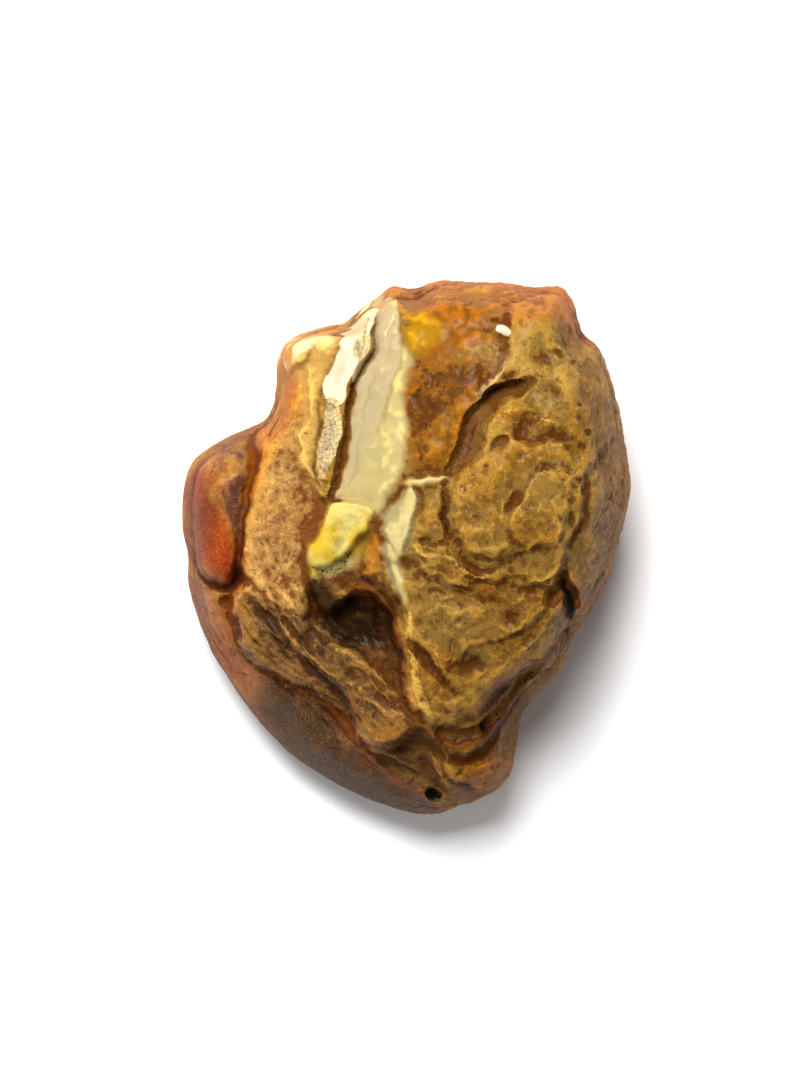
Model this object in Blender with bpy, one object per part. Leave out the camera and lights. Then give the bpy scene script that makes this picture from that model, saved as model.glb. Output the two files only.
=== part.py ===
"""A raw nugget of Baltic amber, one solid lump of fossil resin lying on its broad side.

The lump grew as resin ran down a tree and set in flows, one over another, so its upper side is
modelled the same way: an underlying boulder, then each flow as a sheet with its own outline and
its own crest, then the cracks, folds and dents that weather and breakage left. The nugget lies
with its length along Y, its photographed side up and a small flat spot on its underside.
"""

import math

import bmesh
import bpy
import numpy as np
from mathutils import Vector, noise

# Driving dimensions of the nugget, in millimetres
LENGTH = 74.0
WIDTH = 62.0
HEIGHT = 36.0
MM = 0.001

# The girdle is the line where the upper side turns into the underside. It lies on a tilted plane.
GIRDLE_HEIGHT = 11.0
GIRDLE_TILT_X = 0.12
GIRDLE_TILT_Y = 0.09
UNDERSIDE_ROLL = 34.0
UNDERSIDE_DEPTH = 0.9
FLAT_SPOT = 12.0

# Old breaks of the underside: the point and direction each faces away from, how far along that
# direction it starts, and how steeply it climbs
UNDERSIDE_BREAKS = [
    (0, 0, 205, 11, 0.42),
    (0, 0, 140, 13, 0.5),
    (0, 0, 25, 12, 0.38),
    (0, 0, 300, 14, 0.36),
    (0, 0, 80, 17, 0.55),
]

# Meshing
SPHERE_SUBDIVISIONS = 8
VOXEL = 0.6
TRIANGLES = 9700

# Girdle seen from above: x, y, and how far in from it the upper side takes to round over
GIRDLE = [
    (-3.9, 34.4, 4.5), (-1.8, 36.1, 4.5), (0.9, 35.7, 5), (2.8, 36.6, 5), (5.6, 37.0, 5),
    (9.0, 36.8, 5), (13.5, 36.7, 5.5), (17.4, 36.0, 5.5), (20.2, 36.2, 5.5), (22.4, 35.0, 6),
    (23.9, 31.0, 6), (24.4, 29.3, 6.5), (26.2, 28.0, 6.5), (28.0, 24.0, 7), (29.3, 19.0, 8),
    (30.3, 13.5, 9), (30.9, 9.5, 9), (30.3, 4.5, 9), (28.9, -1.0, 8), (28.0, -4.2, 7),
    (25.6, -8.8, 6), (23.1, -12.6, 5), (22.0, -16.0, 4.5), (19.4, -19.0, 4.5),
    (16.6, -22.4, 5), (15.6, -26.5, 5), (15.1, -30.0, 6), (13.2, -33.2, 6), (8.3, -35.6, 7),
    (3.6, -37.0, 8), (-1.5, -36.2, 10), (-8.5, -33.4, 12), (-15.5, -29.0, 13), (-20.5, -24.0, 13),
    (-25.9, -16.2, 11), (-28.7, -10.5, 8), (-30.1, -5.0, 6), (-30.1, -0.9, 5), (-30.9, 3.0, 7),
    (-30.7, 8.2, 7), (-29.4, 12.1, 7), (-26.0, 14.7, 6.5), (-21.4, 16.9, 5), (-19.2, 18.0, 4),
    (-18.0, 21.5, 4), (-17.7, 25.8, 4), (-16.2, 28.6, 4), (-12.0, 30.5, 4), (-8.4, 31.2, 4),
    (-6.0, 33.3, 4),
]


def mesh_points(vertices):
    """The points of a mesh as rows of x, y, z."""
    points = np.empty(len(vertices) * 3, np.float32)
    vertices.foreach_get("co", points)
    return points.reshape(-1, 3).astype(float)


def rounded(points, closed=True, steps=4):
    """A smooth curve through hand-placed points (Catmull-Rom). Every column is smoothed."""
    points = np.array(points, float)
    if closed:
        before, after, last = np.roll(points, 1, 0), np.roll(points, -1, 0), np.roll(points, -2, 0)
    else:
        padded = np.vstack([points[:1], points, points[-1:]])
        before, points, after, last = padded[:-3], padded[1:-2], padded[2:-1], padded[3:]
    curve = []
    for t in np.arange(steps) / steps:
        curve.append(
            points
            + 0.5 * t * (after - before)
            + t**2 * (before - 2.5 * points + 2 * after - 0.5 * last)
            + t**3 * (1.5 * (points - after) + 0.5 * (last - before))
        )
    curve = np.stack(curve, 1).reshape(-1, points.shape[1])
    return curve if closed else np.vstack([curve, after[-1:]])


def quarter_round(t):
    """0 at an edge, 1 from t = 1 on, along a quarter of a circle."""
    t = np.clip(t, 0, 1)
    return np.sqrt(1 - (1 - t) ** 2)


def to_segment(x, y, a, b):
    """Distance to the line from a to b, and how far along it the nearest point lies, 0 to 1."""
    dx, dy = b[0] - a[0], b[1] - a[1]
    along = ((x - a[0]) * dx + (y - a[1]) * dy) / max(dx * dx + dy * dy, 1e-9)
    along = np.clip(along, 0, 1)
    return np.hypot(x - a[0] - along * dx, y - a[1] - along * dy), along


def is_inside(x, y, curve):
    """Whether each point lies inside a closed curve, by counting the edges it is left of."""
    inside = np.zeros(len(x), bool)
    for a, b in zip(curve, np.roll(curve, -1, 0)):
        crosses = (a[1] > y) != (b[1] > y)
        rise = b[1] - a[1] if b[1] != a[1] else 1e-9
        inside ^= crosses & (x < a[0] + (y - a[1]) * (b[0] - a[0]) / rise)
    return inside


def girdle_height(x, y):
    return GIRDLE_HEIGHT + GIRDLE_TILT_X * x + GIRDLE_TILT_Y * y


def roundness(x, y):
    """How far the upper side has risen from the girdle, 0 to 1, and each point's inset from it."""
    curve = rounded(GIRDLE)
    risen = np.ones(len(x))
    inset = np.full(len(x), 1e3)
    for a, b in zip(curve, np.roll(curve, -1, 0)):
        distance, along = to_segment(x, y, a, b)
        roll = a[2] + along * (b[2] - a[2])
        risen = np.minimum(risen, quarter_round(distance / roll))
        inset = np.minimum(inset, distance)
    return risen, inset


class Flow:
    """One sheet of resin: an outline, and a crest from which its top falls away on every side.

    Each outline point is x, y, how far the edge there stands below the sheet's top, and how
    wide its rounding is. bend holds the radii of the top's curvature along x and y.
    """

    CLIFF = 4.0  # how steeply the outside falls away below the edge

    def __init__(self, outline, crest, bend=(1e4, 1e4), tilt=(0.0, 0.0)):
        self.outline = rounded(outline, steps=3)
        self.crest = crest
        self.bend = bend
        self.tilt = tilt

    def top(self, x, y):
        dx, dy = x - self.crest[0], y - self.crest[1]
        z = self.crest[2] + self.tilt[0] * dx + self.tilt[1] * dy
        return z - dx**2 / (2 * self.bend[0]) - dy**2 / (2 * self.bend[1])

    def shape(self, z, x, y):
        return np.maximum(z, self.height(x, y))

    def height(self, x, y):
        z = np.full(len(x), -1e3)
        low = self.outline[:, :2].min(0) - 3
        high = self.outline[:, :2].max(0) + 3
        near = (x > low[0]) & (x < high[0]) & (y > low[1]) & (y < high[1])
        x, y = x[near], y[near]
        top = self.top(x, y)
        inside = is_inside(x, y, self.outline)
        least = top.copy()
        closest = np.full(len(x), 1e3)
        edge = top.copy()
        for a, b in zip(self.outline, np.roll(self.outline, -1, 0)):
            distance, along = to_segment(x, y, a, b)
            drop = a[2] + along * (b[2] - a[2])
            roll = np.maximum(a[3] + along * (b[3] - a[3]), 0.2)
            least = np.minimum(least, top - drop * (1 - quarter_round(distance / roll)))
            nearer = distance < closest
            closest = np.where(nearer, distance, closest)
            edge = np.where(nearer, top - drop, edge)
        z[near] = np.where(inside, least, edge - self.CLIFF * closest)
        return z


class Break:
    """A shell-shaped break: everything above a hollow, sloping strip of surface is gone.

    The strip runs along a line turned from Y, climbs across that line to the right, is hollow
    across and bends down along it. reach is how far it runs left, right, back and front.
    """

    def __init__(self, middle, turn, climb, hollow, bend, reach):
        self.middle = middle
        self.turn = math.radians(turn)
        self.climb = climb
        self.hollow = hollow
        self.bend = bend
        self.reach = reach

    def shape(self, z, x, y):
        c, s = math.cos(self.turn), math.sin(self.turn)
        dx, dy = x - self.middle[0], y - self.middle[1]
        across, along = dx * c + dy * s, dy * c - dx * s
        shell = self.middle[2] + self.climb * across
        shell += across**2 / (2 * self.hollow) - along**2 / (2 * self.bend)
        left, right, back, front = self.reach
        within = (across > -left) & (across < right) & (along > -back) & (along < front)
        return np.where(within, np.minimum(z, shell), z)


def history():
    """What made the upper side, in order: flows of resin, the lowest first, and the breaks."""
    boulder = Flow(
        [(x * 1.1, y * 1.1, 0.1, 1) for x, y, _ in GIRDLE[::3]],
        crest=(0, 0, 18.2), tilt=(0.05, 0.07),
    )
    left_lobe = Flow(
        [(-20, 21, 1, 1), (-34, 20, 1, 1), (-34, 0, 2, 2), (-30.2, -0.6, 4, 2), (-28.4, -3.6, 4, 2.2),
         (-25.6, -4.9, 4, 2.4), (-23.2, -4.8, 4, 2.2), (-22.4, -1.5, 2.5, 1.6), (-20, 4, 2, 1.5),
         (-17, 10, 1, 1)],
        crest=(-25, 6, 20.6), bend=(26, 60), tilt=(0.02, 0.05),
    )
    lower_step = Flow(
        [(-22.8, -5.4, 2.5, 1.6), (-23.7, -9, 2.8, 2.2), (-22.7, -12.5, 2.6, 2), (-20.6, -15.1, 2.6, 1.8),
         (-17, -17.4, 2.6, 1.6), (-13, -19.6, 2.4, 1.5), (-9.7, -22.4, 2.8, 1.5),
         (-7.5, -24.6, 3.2, 1.5), (-4.8, -27.1, 3.2, 1.6), (-2.2, -28, 3, 1.6), (0.6, -27, 2, 1.2),
         (4, -22, 1, 1), (1, -8, 1, 1), (-8, -4, 1, 1), (-17, -3, 1, 1)],
        crest=(-15, -14, 20.2), tilt=(0.03, 0.06), bend=(160, 90),
    )
    upper_step = Flow(
        [(-20.6, -4.6, 1.2, 1), (-19, -6.9, 1.8, 1), (-16.1, -10, 2, 1), (-13.8, -12.7, 2, 0.9),
         (-11.5, -15, 2.2, 1), (-8.9, -16.6, 2.4, 1.1), (-6.2, -18.8, 3, 1.3), (-3.6, -21.3, 3.2, 1.6),
         (-1, -22.2, 3.2, 1.6), (1.4, -23.2, 3, 1.6), (4, -18, 1, 1), (1, -12, 1, 1), (-2, -6, 1, 1),
         (-9, -4, 1, 1), (-15, -4, 1, 1)],
        crest=(-5, -17, 24.4), tilt=(0.10, -0.06), bend=(60, 50),
    )
    hollow = Break((-5.6, -10.6, 20.4), turn=42, climb=0.02, hollow=3.2, bend=-9, reach=(6, 6, 9, 9))
    plate = Flow(
        [(-19.7, 18.2, 1, 1), (-20.5, 26, 1, 1), (-15, 33, 1, 1), (-3, 36, 1, 1), (-3, 27, 0.6, 1),
         (-5.4, 20, 0.6, 1), (-6.6, 12, 0.6, 1), (-8, 4, 1, 1), (-12.2, 1.5, 1.5, 1.5),
         (-13.5, -2, 1.5, 1.5), (-13.8, -5.2, 2, 1.5), (-15.4, -7.6, 2.6, 1.3), (-18.2, -8, 3, 1.3),
         (-19.9, -6.3, 2.6, 1.3), (-21.7, -3.2, 2, 1.2), (-22.4, -1, 2, 1.2), (-21.5, 4, 1.8, 1.2),
         (-20.5, 9, 1.8, 1), (-20, 13.5, 1.8, 1)],
        crest=(-12, 12, 26.2), tilt=(0.26, 0.10), bend=(90, 160),
    )
    core = Flow(
        [(-4.1, 38, 8, 4), (-4.2, 28, 6, 4.8), (-5.8, 24.5, 6, 5), (-6.9, 21, 6, 5.2),
         (-7.5, 15, 5.6, 5), (-8, 10, 5.2, 4.2), (-8.8, 6.3, 4.4, 3), (-7.4, 4.4, 4, 2.4),
         (-5.8, 2.4, 4, 2.4), (-7.2, -0.6, 5, 3), (-8.8, -3.6, 7, 3.2), (-8.2, -5.6, 8, 3),
         (-5.2, -6, 9, 3.6), (-3.2, -8, 9, 3.4), (-1.6, -11, 8, 2.6), (-0.5, -14, 6, 2),
         (0, -17, 4.5, 1.6), (0.4, -20, 4.5, 1.8), (1.9, -22.7, 5, 2), (4, -24.2, 5, 2.2),
         (7, -24.4, 5, 2.6), (10, -22.4, 5, 3), (13, -19.9, 5, 3.4), (16.4, -17.2, 5, 3.4),
         (20, -14.8, 4.5, 3.4), (23, -13.6, 3, 3), (30, -12, 1, 1), (36, 6, 1, 1), (34, 30, 1, 1),
         (24, 42, 1, 1), (4, 42, 1, 1)],
        crest=(15, 9, 34.4), bend=(34, 62),
    )
    arch = Flow(
        [(-13.2, -3.2, 1.5, 1), (-12.4, -6, 2.5, 1.4), (-11.6, -7.8, 3.2, 1.4), (-10.2, -8.8, 3.6, 1.3),
         (-8.4, -7.2, 4, 1.1), (-6.9, -6.2, 4.4, 1), (-4.9, -6.2, 4.6, 1), (-3.4, -7.8, 4.6, 1),
         (-1.8, -10, 4.2, 1.1), (-0.5, -12.3, 3.6, 1.2), (-0.1, -15.4, 2.6, 1.2), (1, -18.4, 2, 1),
         (5, -17, 1, 1), (5, -4, 1, 1), (-2, 2, 1, 1), (-9, 1, 1, 1)],
        crest=(-4, -4, 26.2), tilt=(0.12, 0.16), bend=(80, 60),
    )
    trough = Break((-4.7, 17, 27.5), turn=-12, climb=0.42, hollow=6.5, bend=70, reach=(3.4, 6, 13, 22))
    gloss_lump = Flow(
        [(-17.8, 26.4, 2, 2.2), (-16.4, 29.4, 2, 2.2), (-13.6, 30.2, 2, 2.2), (-11.4, 28.4, 1.6, 2),
         (-12, 25.6, 1.2, 2), (-14.6, 24.2, 1.2, 2), (-17, 24.6, 1.6, 2)],
        crest=(-14.8, 27.2, 27.2), bend=(8, 8),
    )
    bar = Flow(
        [(-3.8, 34.8, 0.8, 0.8), (-4.2, 28, 1.2, 0.8), (-5.8, 24.8, 1.2, 0.7), (-7.3, 21.5, 1.2, 0.7),
         (-8.1, 17.5, 1.2, 0.7), (-8.7, 13, 1.2, 0.7), (-9.3, 9.4, 1.2, 0.8), (-10.4, 8.7, 1.4, 1),
         (-12, 10, 1.4, 0.9), (-12.3, 13, 1.4, 0.9), (-11.7, 17, 1.2, 0.9), (-11.2, 21, 1.2, 0.9),
         (-9.8, 26.2, 1.2, 0.9), (-8, 30, 1, 0.9), (-6.6, 33.4, 1, 1)],
        crest=(-9, 18, 28.5), tilt=(0.12, 0.02), bend=(30, 70),
    )
    lump = Flow(
        [(-10.4, 5.5, 1.8, 1.4), (-8, 5.9, 1.6, 1.4), (-5.6, 4.6, 1.4, 1.4), (-4.9, 3, 1.6, 1.4),
         (-6.4, 0.2, 2.6, 1.6), (-8.2, -1.8, 3, 1.8), (-10.6, -3, 3.4, 1.8), (-13, -3.3, 3.4, 1.8),
         (-13.8, -1.2, 2.4, 1.6), (-12.4, 2.3, 2, 1.4)],
        crest=(-9, 1.5, 28.0), tilt=(0.2, 0.2), bend=(30, 24),
    )
    lower_lip = Flow(
        [(1.6, -21.6, 2, 1.5), (2.3, -24.4, 4, 2), (3.9, -26.4, 5, 2.4), (7.6, -27.9, 5, 2.8),
         (10.8, -26.6, 5, 3), (14, -24, 5, 3), (17, -21.2, 4, 3), (26, -18, 2, 2), (24, -8, 1, 1),
         (8, -16, 1, 1)],
        crest=(10, -21, 23.8), tilt=(0.03, 0.12), bend=(60, 60),
    )
    bottom_lobe = Flow(
        [(1.8, -25.6, 2.4, 1.5), (2.6, -28.6, 2.6, 1.5), (3.2, -31.4, 2.6, 1.5), (5.4, -33.6, 2.6, 1.6),
         (7, -40, 1, 1), (20, -38, 1, 1), (20, -20, 1, 1), (8, -20, 1, 1)],
        crest=(9, -28, 18.2), tilt=(0.0, 0.18), bend=(30, 60),
    )
    sheet = Flow(
        [(13.8, 31.5, 0.2, 1), (13.3, 27.4, 0.9, 0.8), (12.2, 23.6, 1.2, 0.8), (9.4, 19.2, 1.2, 0.7),
         (12, 20.2, 1, 0.7), (14.6, 22, 1, 0.7), (15.4, 21.6, 1, 0.7), (12.6, 18.6, 1.2, 0.9),
         (10.7, 16.2, 1.2, 0.9), (9.2, 13.6, 1.2, 0.9), (8, 11.3, 1.2, 0.9), (6.2, 9.8, 1.2, 0.8),
         (2.8, 9.6, 1.2, 0.8), (0.1, 9.7, 1.3, 0.9), (-1.3, 7.9, 1.6, 1.2), (-2.7, 5.4, 1.8, 1.2),
         (-4.3, 3.2, 2.4, 1.2), (-3.4, 0.4, 2.6, 1.4), (-2.4, -2.8, 2.6, 1.4), (-1.1, -6.5, 2.6, 1.4),
         (0, -11.4, 2, 1.4), (2.6, -14.8, 1.8, 1.2), (5.2, -17.8, 1.6, 1), (5.8, -15.2, 1.1, 0.9),
         (8.2, -14, 0.9, 0.9), (11.4, -12.4, 0.6, 1), (16, -10.5, 0.5, 1.2), (20, -7, 0.8, 1.2),
         (21.8, -2, 1.2, 1.2), (24, -5, 0.4, 1), (34, -4, 1, 1), (36, 20, 1, 1), (26, 34, 1, 1)],
        crest=(15, 9, 35.6), bend=(34, 62),
    )
    return [boulder, left_lobe, lower_step, upper_step, hollow, arch, plate, gloss_lump, core,
            sheet, trough, bar, lump, lower_lip, bottom_lobe]


# Grooves: depth, width to the left and to the right of the way they run, and their points
GROOVES = [
    # the split between the pale slab and the trough
    (1.4, 0.6, 0.6, [(-3.9, 27), (-5.5, 24.4), (-6.9, 21), (-7.8, 17), (-8.3, 13), (-8.8, 9.4), (-9.2, 6.2)]),
    # the deep slit in the crust, steep on its left and shelving on its right
    (3.4, 2.4, 0.45, [(5.3, 9.6), (6.4, 12), (7.8, 15), (9.4, 18), (11.8, 20.2), (14, 21.8), (15.8, 22.9)]),
    # the crack that carries on from the slit
    (1.6, 0.45, 0.45, [(5.4, 10), (5.2, 7), (4.8, 4), (5, 1.8), (5.6, 0.6)]),
    (0.9, 0.4, 0.4, [(1.8, 0.6), (3.4, 0.1), (5.4, 0.5)]),
    # the fold below the crack
    (1.3, 0.8, 0.7, [(1.4, -2), (3, -4.1), (6, -5), (9, -4.7), (12, -4.6)]),
    # the crease round the left lobe
    (2.2, 0.9, 0.7, [(-30.2, -1.2), (-28.2, -4.2), (-25.6, -5.2), (-22.9, -5.3), (-22.4, -1.5), (-21.9, 3)]),
    # the cleft on the right flank
    (3.6, 1.0, 1.2, [(19.2, -5), (20.8, -4), (21.8, -6.6), (22.4, -9.6), (22.9, -12.4)]),
    # hollows under the lip of the upper mass
    (2.6, 1.0, 1.0, [(3, -24.6), (6, -25.2), (10, -23.8), (13.4, -21.2), (17, -18.6), (20.6, -15.8)]),
    (1.6, 0.7, 0.7, [(0.4, -26), (3.2, -27.6), (6.6, -29), (10.6, -28), (14, -25.6)]),
    # the outer fold on the right side
    (0.9, 0.8, 1.2, [(24.6, 29.6), (24.8, 27), (25.8, 24), (26, 21), (25.4, 18.6), (26.4, 16), (27.8, 12)]),
]

# Dents: x, y, half-width, half-length, turn in degrees, depth
DENTS = [
    (12.2, 14.3, 1.7, 1.3, 20, 1.3),
    (18, 15.6, 3.4, 1.8, 0, 1.0),
    (20.6, 5.8, 1.8, 4.0, 15, 0.8),
    (14.6, 5.2, 1.3, 4.0, -30, 0.7),
    (9.5, -15.8, 4.0, 1.6, 10, 1.1),
    (10.9, -23.8, 1.0, 1.3, 0, 2.2),
    (4.6, -17.6, 1.0, 2.8, 40, 1.5),
    (-19.0, -25.0, 1.1, 0.7, -40, 1.6),
    (4.4, -34.4, 1.8, 1.1, 10, 2.6),
    (2.4, 35.2, 1.2, 0.8, 30, 1.0),
    (17.6, 34.6, 1.8, 0.7, 20, 0.8),
    (27.4, -3.6, 0.9, 2.2, -15, 1.8),
    (-25.0, -7.6, 1.6, 1.2, 30, 1.4),
]


def groove_depth(x, y, depth, left, right, points):
    """A groove along a curve, deepest in its line and running out at both ends."""
    curve = rounded(points, closed=False)
    cut = np.zeros(len(x))
    ends = len(curve) - 1
    for i, (a, b) in enumerate(zip(curve[:-1], curve[1:])):
        distance, along = to_segment(x, y, a, b)
        side = (b[0] - a[0]) * (y - a[1]) - (b[1] - a[1]) * (x - a[0])
        width = np.where(side > 0, left, right)
        run = (i + along) / ends
        full = np.clip(6 * np.minimum(run, 1 - run) + 0.15, 0, 1)
        cut = np.maximum(cut, depth * full * np.clip(1 - distance / width, 0, 1) ** 0.8)
    return cut


def dent_depth(x, y, cx, cy, half_width, half_length, turn, depth):
    """An oval dent with a round floor."""
    c, s = math.cos(math.radians(turn)), math.sin(math.radians(turn))
    u = ((x - cx) * c + (y - cy) * s) / half_width
    v = ((y - cy) * c - (x - cx) * s) / half_length
    return depth * np.clip(1 - u**2 - v**2, 0, 1)


def wander(points, scale, seed):
    """A smooth random shift of each point, at most about 1 each way. scale is its grain in 3-D."""
    scaled = points / np.array(scale, float) + seed
    return np.array([noise.noise_vector(point) for point in scaled.tolist()])


def grain(x, y, scale, octaves, seed, turn=0.0, stretch=1.0):
    """Fractal noise of about -1 to 1, drawn out along a direction if stretch is above 1."""
    c, s = math.cos(math.radians(turn)), math.sin(math.radians(turn))
    u = (x * c + y * s) / (scale * stretch)
    v = (y * c - x * s) / scale
    values = [noise.fractal((a, b, seed), 1.0, 2.0, octaves) for a, b in zip(u, v)]
    return np.array(values)


def upper_side(x, y):
    """Height of the upper side above the floor."""
    risen, inset = roundness(x, y)
    girdle = girdle_height(x, y)
    shift_x = 1.1 * grain(x, y, 7.0, 3, seed=3.1)
    shift_y = 1.1 * grain(x, y, 7.0, 3, seed=8.7)
    x, y = x + shift_x, y + shift_y
    z = np.zeros(len(x))
    for step in history():
        z = step.shape(z, x, y)
    for depth, left, right, points in GROOVES:
        z -= groove_depth(x, y, depth, left, right, points)
    for dent in DENTS:
        z -= dent_depth(x, y, *dent)
    creases = 1 - 2 * np.abs(grain(x, y, 9.0, 3, seed=5.3, turn=-40, stretch=2.2))
    z += 0.9 * grain(x, y, 10.0, 3, seed=1.9) + 0.5 * creases
    return girdle + np.maximum(z - girdle, 1) * risen, inset


def underside(x, y, inset):
    """Height of the underside, which dips below the floor where the flat spot is cut."""
    girdle = girdle_height(x, y)
    z = girdle - (girdle + UNDERSIDE_DEPTH) * quarter_round(inset / UNDERSIDE_ROLL)
    rolled = girdle - 6 * quarter_round(inset / 7)
    outer = 1 - np.exp(-(x**2 + y**2) / FLAT_SPOT**2)
    bumps = 1.5 * grain(x, y, 13.0, 3, seed=6.6) * np.clip(inset / 6, 0, 1) * outer
    for cx, cy, turn, start, climb in UNDERSIDE_BREAKS:
        reach = (x - cx) * math.cos(math.radians(turn)) + (y - cy) * math.sin(math.radians(turn))
        z = np.maximum(z, np.minimum(climb * (reach - start) - UNDERSIDE_DEPTH, rolled))
    return np.minimum(z + bumps, girdle)


def worn_sides(points, normals, inset):
    """The points with the sides worn back into ledges and lumps, all inside the girdle."""
    above = points[:, 2] - girdle_height(points[:, 0], points[:, 1])
    away = np.clip(np.abs(above) / 5, 0, 1)
    away *= np.where(above < 0, 1, 0.35 * np.clip(1 - inset / 7, 0, 1))
    pulled_in = 1 - 0.07 * away * np.clip(0.5 + wander(points, (9, 9, 9), 4.1)[:, 0], 0, 1)
    points = points * np.stack([pulled_in, pulled_in, np.ones(len(points))], 1)
    ledges = np.clip(0.4 + wander(points, (15, 15, 4.5), 7.9)[:, 0], 0, 1)
    lumps = np.clip(0.4 + wander(points, (6, 6, 6), 2.3)[:, 0], 0, 1)
    worn = (1 - normals[:, 2] ** 2) * away * (2.2 * ledges + 1.1 * lumps)
    return points - normals * worn[:, None]


def pressed_sphere():
    """A sphere pressed to the girdle in plan and to both sides in height, in millimetres."""
    bm = bmesh.new()
    bmesh.ops.create_icosphere(bm, subdivisions=SPHERE_SUBDIVISIONS, radius=1)
    mesh = bpy.data.meshes.new("nugget")
    bm.to_mesh(mesh)
    bm.free()
    unit = mesh_points(mesh.vertices)
    girdle = rounded(GIRDLE)[:, :2]
    turns = np.arctan2(girdle[:, 1], girdle[:, 0])
    order = np.argsort(turns)
    reach = np.hypot(girdle[:, 0], girdle[:, 1])
    angle = np.arctan2(unit[:, 1], unit[:, 0])
    radius = np.interp(angle, turns[order], reach[order], period=2 * math.pi)
    out = np.minimum(np.hypot(unit[:, 0], unit[:, 1]), 1) * radius
    x, y = out * np.cos(angle), out * np.sin(angle)
    top, inset = upper_side(x, y)
    bottom = underside(x, y, inset)
    points = np.stack([x, y, np.where(unit[:, 2] > 0, top, bottom)], 1)
    set_points(mesh, points)
    normals = np.empty(len(points) * 3, np.float32)
    mesh.vertex_normals.foreach_get("vector", normals)
    set_points(mesh, worn_sides(points, normals.reshape(-1, 3).astype(float), inset))
    return mesh


def set_points(mesh, points):
    mesh.vertices.foreach_set("co", points.astype(np.float32).ravel())
    mesh.update()


def thinned(mesh):
    """The mesh closed up evenly, then thinned out to the triangles its shape needs."""
    obj = bpy.data.objects.new("working", mesh)
    bpy.context.scene.collection.objects.link(obj)
    even = obj.modifiers.new("even", "REMESH")
    even.mode = "VOXEL"
    even.voxel_size = VOXEL
    graph = bpy.context.evaluated_depsgraph_get()
    faces = len(obj.evaluated_get(graph).data.polygons)
    thin = obj.modifiers.new("thin", "DECIMATE")
    thin.ratio = TRIANGLES / (2 * faces)
    graph = bpy.context.evaluated_depsgraph_get()
    result = bpy.data.meshes.new_from_object(obj.evaluated_get(graph))
    bpy.data.objects.remove(obj)
    return result


def with_flat_spot(mesh):
    """The mesh cut level where it rests on the floor, and brought to its measured size."""
    bm = bmesh.new()
    bm.from_mesh(mesh)
    everything = bm.verts[:] + bm.edges[:] + bm.faces[:]
    bmesh.ops.bisect_plane(bm, geom=everything, plane_co=(0, 0, 0), plane_no=(0, 0, -1), clear_outer=True)
    rim = [edge for edge in bm.edges if edge.is_boundary]
    bmesh.ops.holes_fill(bm, edges=rim)
    bmesh.ops.triangulate(bm, faces=bm.faces[:])
    bm.to_mesh(mesh)
    bm.free()
    points = mesh_points(mesh.vertices)
    low, high = points.min(0), points.max(0)
    points[:, :2] -= (low[:2] + high[:2]) / 2
    points *= np.array([WIDTH, LENGTH, HEIGHT]) / (high - low)
    set_points(mesh, points)


def amber_material():
    material = bpy.data.materials.new("weathered_amber")
    material.use_nodes = True
    surface = material.node_tree.nodes["Principled BSDF"]
    surface.inputs["Base Color"].default_value = (0.42, 0.22, 0.05, 1)
    surface.inputs["Roughness"].default_value = 0.4
    surface.inputs["Metallic"].default_value = 0.0
    return material


def main():
    for obj in list(bpy.data.objects):
        bpy.data.objects.remove(obj)
    mesh = thinned(pressed_sphere())
    with_flat_spot(mesh)
    set_points(mesh, mesh_points(mesh.vertices) * MM)
    mesh.name = "amber_nugget"
    nugget = bpy.data.objects.new("amber_nugget", mesh)
    bpy.context.scene.collection.objects.link(nugget)
    mesh.materials.append(amber_material())
    mesh.shade_smooth()


main()
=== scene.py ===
"""The look of a raw Baltic amber nugget: its crust, its fresh breaks and the light it lies in.

One solid lump of fossil resin, seen from straight above. Its form is worked out from what made
it, with the CAD model's outline and size and several times its detail, and then given its
surface. Lengths are in millimetres until the mesh is finished.
"""

import math

import bpy
import numpy as np
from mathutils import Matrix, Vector, noise


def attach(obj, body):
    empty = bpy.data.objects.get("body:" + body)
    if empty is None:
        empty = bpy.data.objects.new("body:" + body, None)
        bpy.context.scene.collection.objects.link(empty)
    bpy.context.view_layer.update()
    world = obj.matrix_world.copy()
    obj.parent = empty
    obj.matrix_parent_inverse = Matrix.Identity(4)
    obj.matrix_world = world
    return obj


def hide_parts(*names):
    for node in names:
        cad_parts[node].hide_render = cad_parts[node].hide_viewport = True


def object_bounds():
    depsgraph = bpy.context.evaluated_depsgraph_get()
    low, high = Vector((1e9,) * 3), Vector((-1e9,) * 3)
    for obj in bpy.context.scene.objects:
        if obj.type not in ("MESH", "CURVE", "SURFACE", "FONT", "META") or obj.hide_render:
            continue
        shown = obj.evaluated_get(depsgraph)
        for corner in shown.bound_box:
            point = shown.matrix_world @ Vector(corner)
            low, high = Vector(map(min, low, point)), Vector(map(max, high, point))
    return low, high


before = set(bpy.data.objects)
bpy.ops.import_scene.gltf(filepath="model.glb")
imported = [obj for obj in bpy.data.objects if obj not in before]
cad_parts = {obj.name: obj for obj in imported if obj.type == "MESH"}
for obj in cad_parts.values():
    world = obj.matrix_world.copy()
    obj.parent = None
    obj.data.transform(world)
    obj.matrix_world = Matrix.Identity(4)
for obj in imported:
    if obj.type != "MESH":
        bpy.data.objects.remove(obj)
cad_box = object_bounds()

# The lump as a whole: resin that ran from a pine in flows, one over the other, hardened in the
# ground and was broken and worn round by the sea. Its girdle is the line where the upper side
# turns into the underside, and lies on a tilted plane.
MM = 0.001
GIRDLE_HEIGHT = 11.0
GIRDLE_TILT_X = 0.12
GIRDLE_TILT_Y = 0.09

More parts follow.
